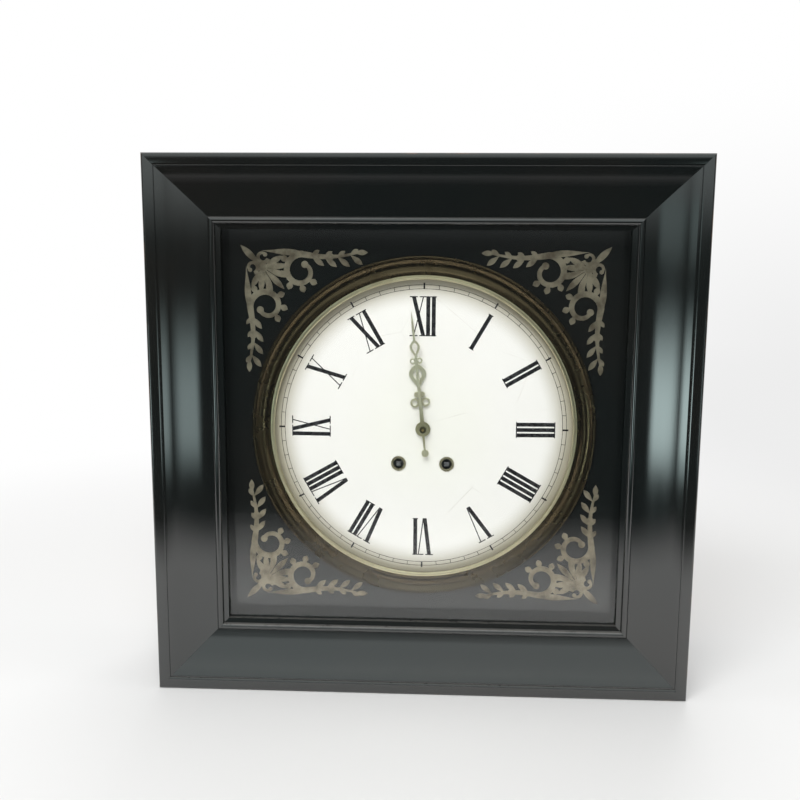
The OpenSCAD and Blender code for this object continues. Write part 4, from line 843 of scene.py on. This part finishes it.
class CLOCK_OT_ornament(bpy.types.Operator):
    """Corner scrolls and the rings round the dial"""

    bl_idname = "clock.ornament"
    bl_label = "Scrolls and rings"

    def execute(self, context):
        c = colours()
        softened("corner_ornaments", sizes().inlay_edge, inlay("cut_brass_inlay"), segments=1)
        dark = turned_metal("dark_ring", c.bezel, c.bezel_dark, 0.22, pitch=0.0009, tarnish=0.6)
        stand_for(turned("dark_ring", self.ring_outline()), "dial_bezel", dark)
        gilding = turned_metal("gilt_ring", c.gilt, c.tarnish, 0.3, pitch=0.0004, tarnish=0.25)
        stand_for(turned("gilt_rim", self.rim_outline()), "sight_ring", gilding)
        coat(gilding, "winding_grommets")
        return {"FINISHED"}

    def ring_outline(self):
        """The dark ring: a land by the dial, a broad hollow, a fillet and a bead at the outside."""
        seat, outer = (RIM_HIGH.x - RIM_LOW.x) / 2, (BEZEL_HIGH.x - BEZEL_LOW.x) / 2
        back, front = BEZEL_HIGH.y, BEZEL_LOW.y
        inner = seat - 2.5 * MM
        bead, fillet, chamfer = 1.5 * MM, 0.7 * MM, 0.3 * MM
        start, end = seat + 2.2 * MM, outer - 2 * bead - fillet
        groove = front + 1.3 * MM
        sag = 1.9 * MM
        radius = ((end - start) ** 2 / 4 + sag**2) / (2 * sag)
        half = math.degrees(math.asin((end - start) / 2 / radius))
        hollow = arc(((start + end) / 2, front + sag - radius), radius, -90 - half, -90 + half, 24)
        crown = arc((outer - bead, front + 2.1 * MM), bead, 180, 0, 16)
        return [
            (inner, back),
            (inner, front + 1.5 * MM),
            (seat, front + 1.5 * MM),
            (seat, front + chamfer),
            (seat + chamfer, front),
            *hollow,
            (end + 0.1 * MM, groove),
            (end + fillet, groove),
            *crown[2:],
            (outer, back),
        ]

    def rim_outline(self):
        """The thin gilt rim: a flange that lies in the dark ring, and a bead that stands over the dial."""
        outer = (RIM_HIGH.x - RIM_LOW.x) / 2
        back, front = RIM_HIGH.y, RIM_LOW.y
        bead = (back - front) / 2
        middle = outer - 2.5 * MM
        crown = arc((middle, back - bead), bead, 215, 20, 18)
        return [
            (middle - bead * 0.8, back),
            *crown,
            (middle + bead * 1.05, front + bead * 1.1),
            (outer, front + bead * 1.15),
            (outer, back),
        ]


class CLOCK_OT_dial(bpy.types.Operator):
    """White enamel with fired numerals and a minute track"""

    bl_idname = "clock.dial"
    bl_label = "Dial"

    HOURS = ("XII", "I", "II", "III", "IIII", "V", "VI", "VII", "VIII", "IX", "X", "XI")
    MINUTES = 60
    CIRCLE_POINTS = 240
    CIRCLE_LINE, MINUTE_LINE, FIFTH_LINE = 0.45, 0.5, 1.6
    HELD_OFF = 0.004
    CLEAR_OF_DIAL = 0.00001

    def execute(self, context):
        coat(enamel("white_enamel"), "dial")
        ink = fired_black("fired_black")
        letters = {"I": self.letter_i(), "V": self.letter_v(), "X": self.letter_x()}
        numerals = [self.numeral(hour, text, letters) for hour, text in enumerate(self.HOURS)]
        self.fire(join(numerals, "hour_numerals"), ink)
        for letter in letters.values():
            bpy.data.objects.remove(letter)
        self.fire(self.minute_track(), ink)
        return {"FINISHED"}

    def bar(self, left, right, low, high, lean=0.0):
        """An upright or leaning stroke in the XZ plane. Its head is moved sideways by lean."""
        stroke = start_from(bpy.ops.mesh.primitive_plane_add, size=1, rotation=UPRIGHT)
        stroke.scale = (right - left, high - low, 1)
        stroke.location = ((left + right) / 2, 0, (low + high) / 2)
        settle(stroke)
        if lean:
            mesh = stroke.data
            mesh.polygons[0].select = False
            for vertex in mesh.vertices:
                vertex.select = vertex.co.z > (low + high) / 2
            for edge in mesh.edges:
                edge.select = all(mesh.vertices[i].select for i in edge.vertices)
            bpy.ops.object.mode_set(mode="EDIT")
            bpy.ops.transform.translate(value=(lean, 0, 0))
            bpy.ops.object.mode_set(mode="OBJECT")
        return stroke

    def serif(self, middle, half, at_head):
        s = sizes()
        edge = s.numeral_height / 2
        low, high = (edge - s.hair_width, edge) if at_head else (-edge, -edge + s.hair_width)
        return self.bar(middle - half, middle + half, low, high)

    def stroke(self, foot, lean, wide):
        """A stroke of full height, whose head stands sideways from its foot by lean."""
        half = sizes().numeral_height / 2
        return self.bar(foot - wide / 2, foot + wide / 2, -half, half, lean)

    def letter_i(self):
        s = sizes()
        serifs = [self.serif(0, s.letter_pitch / 2, head) for head in (True, False)]
        return join([self.stroke(0, 0, s.stem_width), *serifs], "letter_i")

    def letter_v(self):
        s = sizes()
        out = (s.cross_width - s.stem_width) / 2
        thick = self.stroke(0, -out, s.stem_width)
        thin = self.stroke((s.stem_width - s.hair_width) / 2, out, s.hair_width)
        serifs = [self.serif(side * out, s.stem_width, True) for side in (-1, 1)]
        return join([thick, thin, *serifs], "letter_v")

    def letter_x(self):
        s = sizes()
        out = (s.cross_width - s.stem_width) / 2
        thick = self.stroke(out, -2 * out, s.stem_width)
        thin = self.stroke(-out, 2 * out, s.hair_width)
        serifs = [self.serif(side * out, s.stem_width, head) for side in (-1, 1) for head in (True, False)]
        return join([thick, thin, *serifs], "letter_x")

    def numeral(self, hour, text, letters):
        """One hour's numeral, set upright on its ray with its feet towards the centre."""
        s = sizes()
        widths = [s.letter_pitch if letter == "I" else s.cross_width for letter in text]
        start = -sum(widths) / 2
        copies = []
        for letter, width in zip(text, widths):
            copy = duplicate(letters[letter])
            copy.location.x = start + width / 2
            start += width
            copies.append(copy)
        made = join(copies, "numeral")
        settle(made)
        turn = Matrix.Rotation(2 * math.pi * hour / len(self.HOURS), 4, "Y")
        out = Matrix.Translation((0, 0, s.numeral_ring))
        made.data.transform(Matrix.Translation(self.in_front()) @ turn @ out)
        return made

    def in_front(self):
        """A point in front of the dial's centre, from which marks are pressed onto the dial."""
        return Vector((DIAL_CENTRE.x, DIAL_LOW.y - self.HELD_OFF, DIAL_CENTRE.z))

    def circle(self, radius, wide):
        """A flat ring in the XZ plane."""
        inner, outer = radius - wide / 2, radius + wide / 2
        ring = start_from(
            bpy.ops.mesh.primitive_circle_add, vertices=self.CIRCLE_POINTS, radius=inner, rotation=UPRIGHT
        )
        settle(ring)
        share = outer / inner
        edit_all(ring)
        bpy.ops.mesh.extrude_edges_move()
        bpy.ops.transform.resize(value=(share, 1, share), center_override=(0, 0, 0))
        bpy.ops.object.mode_set(mode="OBJECT")
        return ring

    def minute_track(self):
        s = sizes()
        half = s.minute_width / 2
        low, high = s.minute_ring - half, s.minute_ring + half
        parts = [self.circle(radius, s.hair_width * self.CIRCLE_LINE) for radius in (low, high)]
        for minute in range(self.MINUTES):
            fifth = minute % 5 == 0
            wide = s.hair_width * (self.FIFTH_LINE if fifth else self.MINUTE_LINE)
            mark = self.bar(-wide / 2, wide / 2, low, high + (half if fifth else 0))
            mark.data.transform(Matrix.Rotation(2 * math.pi * minute / self.MINUTES, 4, "Y"))
            parts.append(mark)
        track = join(parts, "minute_track")
        track.data.transform(Matrix.Translation(self.in_front()))
        return track

    def fire(self, piece, ink):
        """Lays flat marks on the domed enamel and gives them the thickness of fired paint."""
        edit_all(piece)
        bpy.ops.mesh.remove_doubles(threshold=MERGE)
        bpy.ops.mesh.subdivide(number_cuts=3)
        bpy.ops.mesh.normals_make_consistent(inside=False)
        bpy.ops.object.mode_set(mode="OBJECT")
        add_modifier(
            piece,
            "SHRINKWRAP",
            target=NODES["dial"],
            wrap_method="PROJECT",
            use_project_y=True,
            use_negative_direction=True,
            use_positive_direction=True,
            offset=self.CLEAR_OF_DIAL,
        )
        add_modifier(piece, "SOLIDIFY", thickness=sizes().fired_depth, offset=0)
        coat(ink, piece.name)
        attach(piece, "case")


class CLOCK_OT_hands(bpy.types.Operator):
    """Gilt hands and their nut"""

    bl_idname = "clock.hands"
    bl_label = "Hands"

    def execute(self, context):
        c = colours()
        gilding = worn_gilding("gilt_hands")
        bronzed = metal("bronzed_nut", c.nut, c.bezel_dark, 0.3, tarnish=0.4, depth=SCRATCH_DEPTH)
        for node, finish in (("hour_hand", gilding), ("minute_hand", gilding), ("hand_nut", bronzed)):
            softened(node, sizes().metal_edge, finish)
        return {"FINISHED"}


class CLOCK_OT_glass(bpy.types.Operator):
    """Pane of the front door"""

    bl_idname = "clock.glass"
    bl_label = "Glass"

    def execute(self, context):
        coat(window_glass("window_glass"), "door_glass")
        return {"FINISHED"}


class CLOCK_OT_movement(bpy.types.Operator):
    """Brass, steel and bell metal of the movement"""

    bl_idname = "clock.movement"
    bl_label = "Movement"

    SCREW_LENGTH = 0.0079
    SCREW_SIDE = 0.026
    BELL_WALL = 0.0016
    BELL_HOLE = 0.0022
    PLATES = ("front_plate", "back_plate", "pillars")
    ROUNDED = (*PLATES, "suspension_cock", "pendulum_bob", "hammer", "bell_stand")

    def execute(self, context):
        c = colours()
        metals = {
            "brass": metal("clock_brass", c.brass, c.tarnish, 0.24, SCRATCHED_Z, tarnish=0.35),
            "steel": metal("grained_steel", c.steel, STEEL_STAIN, 0.30, SCRATCHED_X, tarnish=0.45),
        }
        for part in frame["record"]["subparts"]:
            if part["material_slot"] in metals:
                coat(metals[part["material_slot"]], part["node"])
        for node in self.ROUNDED:
            softened(node, sizes().metal_edge, metals[slot_of(node)])
        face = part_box("plate_fasteners")[0].y + self.SCREW_LENGTH
        heads = by_the_bars((-self.SCREW_SIDE, self.SCREW_SIDE), face)
        softened("plate_fasteners", sizes().metal_edge, metals["steel"], slots=heads)
        bell_metal = turned_metal("bell_metal", c.bell, c.tarnish, 0.2, pitch=0.0008)
        stand_for(turned("turned_bell", self.bell_outline(), 160), "bell", bell_metal)
        return {"FINISHED"}

    def bell_outline(self):
        """Part of a hollow ball, with a hole for its stem and a flat rim towards the movement."""
        low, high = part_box("bell")
        rim, tall = (high.x - low.x) / 2, high.y - low.y
        ball = (rim * rim + tall * tall) / (2 * tall)
        middle = (0.0, high.y - ball)
        inner = ball - self.BELL_WALL
        shells = []
        for radius in (ball, inner):
            hole = math.degrees(math.asin(self.BELL_HOLE / radius)) - 90
            edge = -math.degrees(math.asin((ball - tall) / radius))
            shells.append(arc(middle, radius, hole, edge, 24))
        return shells[0] + shells[1][::-1]


class CLOCK_OT_fittings(bpy.types.Operator):
    """Hinges with their screws, hanging plate, turn button, catch, bars and wood screws"""

    bl_idname = "clock.fittings"
    bl_label = "Fittings"

    PLAIN = ("hanger_plate", "turn_button", "catch_plate", "catch_peg", "movement_bars")
    HINGES = ("hinge_leaves_case", "hinge_leaves_door", "hinge_leaves_back")
    HINGE_LENGTH = 0.050
    KNUCKLE = 0.0018
    LEAF_MIDDLE = 0.0045
    LEAF_STEP = 0.017
    CASE_LEAF_FACE, DOOR_LEAF_FACE, BACK_LEAF_FACE = -0.0500, -0.0505, 0.0500
    WOOD_SCREW_R = 0.0028
    BAR_SCREW_FACE = -0.0331
    HANGER_SCREW_SIDE = 0.017
    HEAD_DEPTH = 0.0012
    HEAD_SUNK = 0.0005
    HEAD_EDGE = 0.00012
    HEAD_TURN = 0.7

    def execute(self, context):
        c = colours()
        brass = metal("lacquered_brass", c.brass, c.tarnish, 0.3, (0.08, 1.0, 1.0), tarnish=0.6)
        steel = metal("dull_steel", c.steel, STEEL_RUST, 0.36, SCRATCHED_X, tarnish=0.7)
        for node in self.PLAIN:
            softened(node, sizes().metal_edge, brass if slot_of(node) == "brass" else steel)
        coat(brass, *self.HINGES)
        softened("wood_screws", sizes().metal_edge, steel, slots=self.wood_screw_faces())
        head = self.screw_head()
        self.screw_hinges(head, metal("blued_screws", BLUED, BLUED_BROWN, 0.32))
        bpy.data.objects.remove(head)
        return {"FINISHED"}

    def wood_screw_faces(self):
        """The middles of the heads' faces: four in the bars and two in the hanging plate."""
        low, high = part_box("wood_screws")
        head = self.WOOD_SCREW_R
        bars = by_the_bars((low.x + head, high.x - head), self.BAR_SCREW_FACE)
        sides = (-self.HANGER_SCREW_SIDE, self.HANGER_SCREW_SIDE)
        return bars + [Vector((x, high.y, high.z - head)) for x in sides]

    def screw_head(self):
        """A flat screw head with a slot and a rounded rim, which looks along -y from the origin."""
        head = start_from(
            bpy.ops.mesh.primitive_cylinder_add,
            vertices=40,
            radius=sizes().hinge_screw,
            depth=self.HEAD_DEPTH,
            location=(0, self.HEAD_SUNK, 0),
            rotation=UPRIGHT,
        )
        settle(head)
        cut_slot(head, Vector((0, self.HEAD_SUNK - self.HEAD_DEPTH / 2, 0)), 0.0)
        round_edges(head, self.HEAD_EDGE)
        return head

    def screw_hinges(self, head, steel):
        """Three screws in each visible leaf of the front and back hinges."""
        front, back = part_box("hinge_leaves_door"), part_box("hinge_leaves_back")
        front_x = (front[0].x + front[1].x - 2 * self.KNUCKLE) / 2
        back_axis = back[1].x - self.KNUCKLE
        from_axis = self.KNUCKLE + self.LEAF_MIDDLE
        leaves = (
            ("case", front_x, self.CASE_LEAF_FACE, front, False),
            ("front_door", front_x, self.DOOR_LEAF_FACE, front, True),
            ("case", back_axis + from_axis, self.BACK_LEAF_FACE, back, True),
            ("back_door", back_axis - from_axis, self.BACK_LEAF_FACE, back, True),
        )
        for number, (body, x, depth, box, looks_back) in enumerate(leaves):
            facing = Matrix.Rotation(math.pi if looks_back else 0.0, 4, "Z")
            middles = (box[0].z + self.HINGE_LENGTH / 2, box[1].z - self.HINGE_LENGTH / 2)
            heads = []
            for z in [middle + step * self.LEAF_STEP for middle in middles for step in (-1, 0, 1)]:
                turn = Matrix.Rotation(self.HEAD_TURN * len(heads) + number, 4, "Y")
                copy = duplicate(head)
                copy.data.transform(Matrix.Translation((x, depth, z)) @ facing @ turn)
                heads.append(copy)
            joined = join(heads, "hinge_screws_" + str(number + 1))
            coat(steel, joined.name)
            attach(joined, body)


class CLOCK_PT_sidebar(bpy.types.Panel):
    """Lists the clock's operators and settings"""

    bl_label = "Square wall clock"
    bl_space_type = "VIEW_3D"
    bl_region_type = "UI"
    bl_category = "Clock"

    def draw(self, context):
        for operator in OPERATORS:
            self.layout.operator(operator.bl_idname)
        for group in (colours(), sizes(), view()):
            box = self.layout.box()
            for name in group.bl_rna.properties.keys():
                if name not in ("rna_type", "name"):
                    box.prop(group, name)


GROUPS = {"clock_colours": ClockColours, "clock_sizes": ClockSizes, "clock_view": ClockView}
OPERATORS = (
    CLOCK_OT_stage,
    CLOCK_OT_case,
    CLOCK_OT_back,
    CLOCK_OT_ornament,
    CLOCK_OT_dial,
    CLOCK_OT_hands,
    CLOCK_OT_glass,
    CLOCK_OT_movement,
    CLOCK_OT_fittings,
)


def register():
    for name, group in GROUPS.items():
        bpy.utils.register_class(group)
        setattr(bpy.types.Scene, name, bpy.props.PointerProperty(type=group))
    for operator in (*OPERATORS, CLOCK_PT_sidebar):
        bpy.utils.register_class(operator)


def unregister():
    for operator in (*OPERATORS, CLOCK_PT_sidebar):
        bpy.utils.unregister_class(operator)
    for name, group in GROUPS.items():
        delattr(bpy.types.Scene, name)
        bpy.utils.unregister_class(group)


def main():
    register()
    bpy.context.scene.view_settings.view_transform = "Standard"
    bpy.ops.clock.stage()
    bpy.ops.clock.case()
    bpy.ops.clock.back()
    bpy.ops.clock.ornament()
    bpy.ops.clock.dial()
    bpy.ops.clock.hands()
    bpy.ops.clock.glass()
    bpy.ops.clock.movement()
    bpy.ops.clock.fittings()
    bpy.context.view_layer.update()


if __name__ == "__main__":
    main()
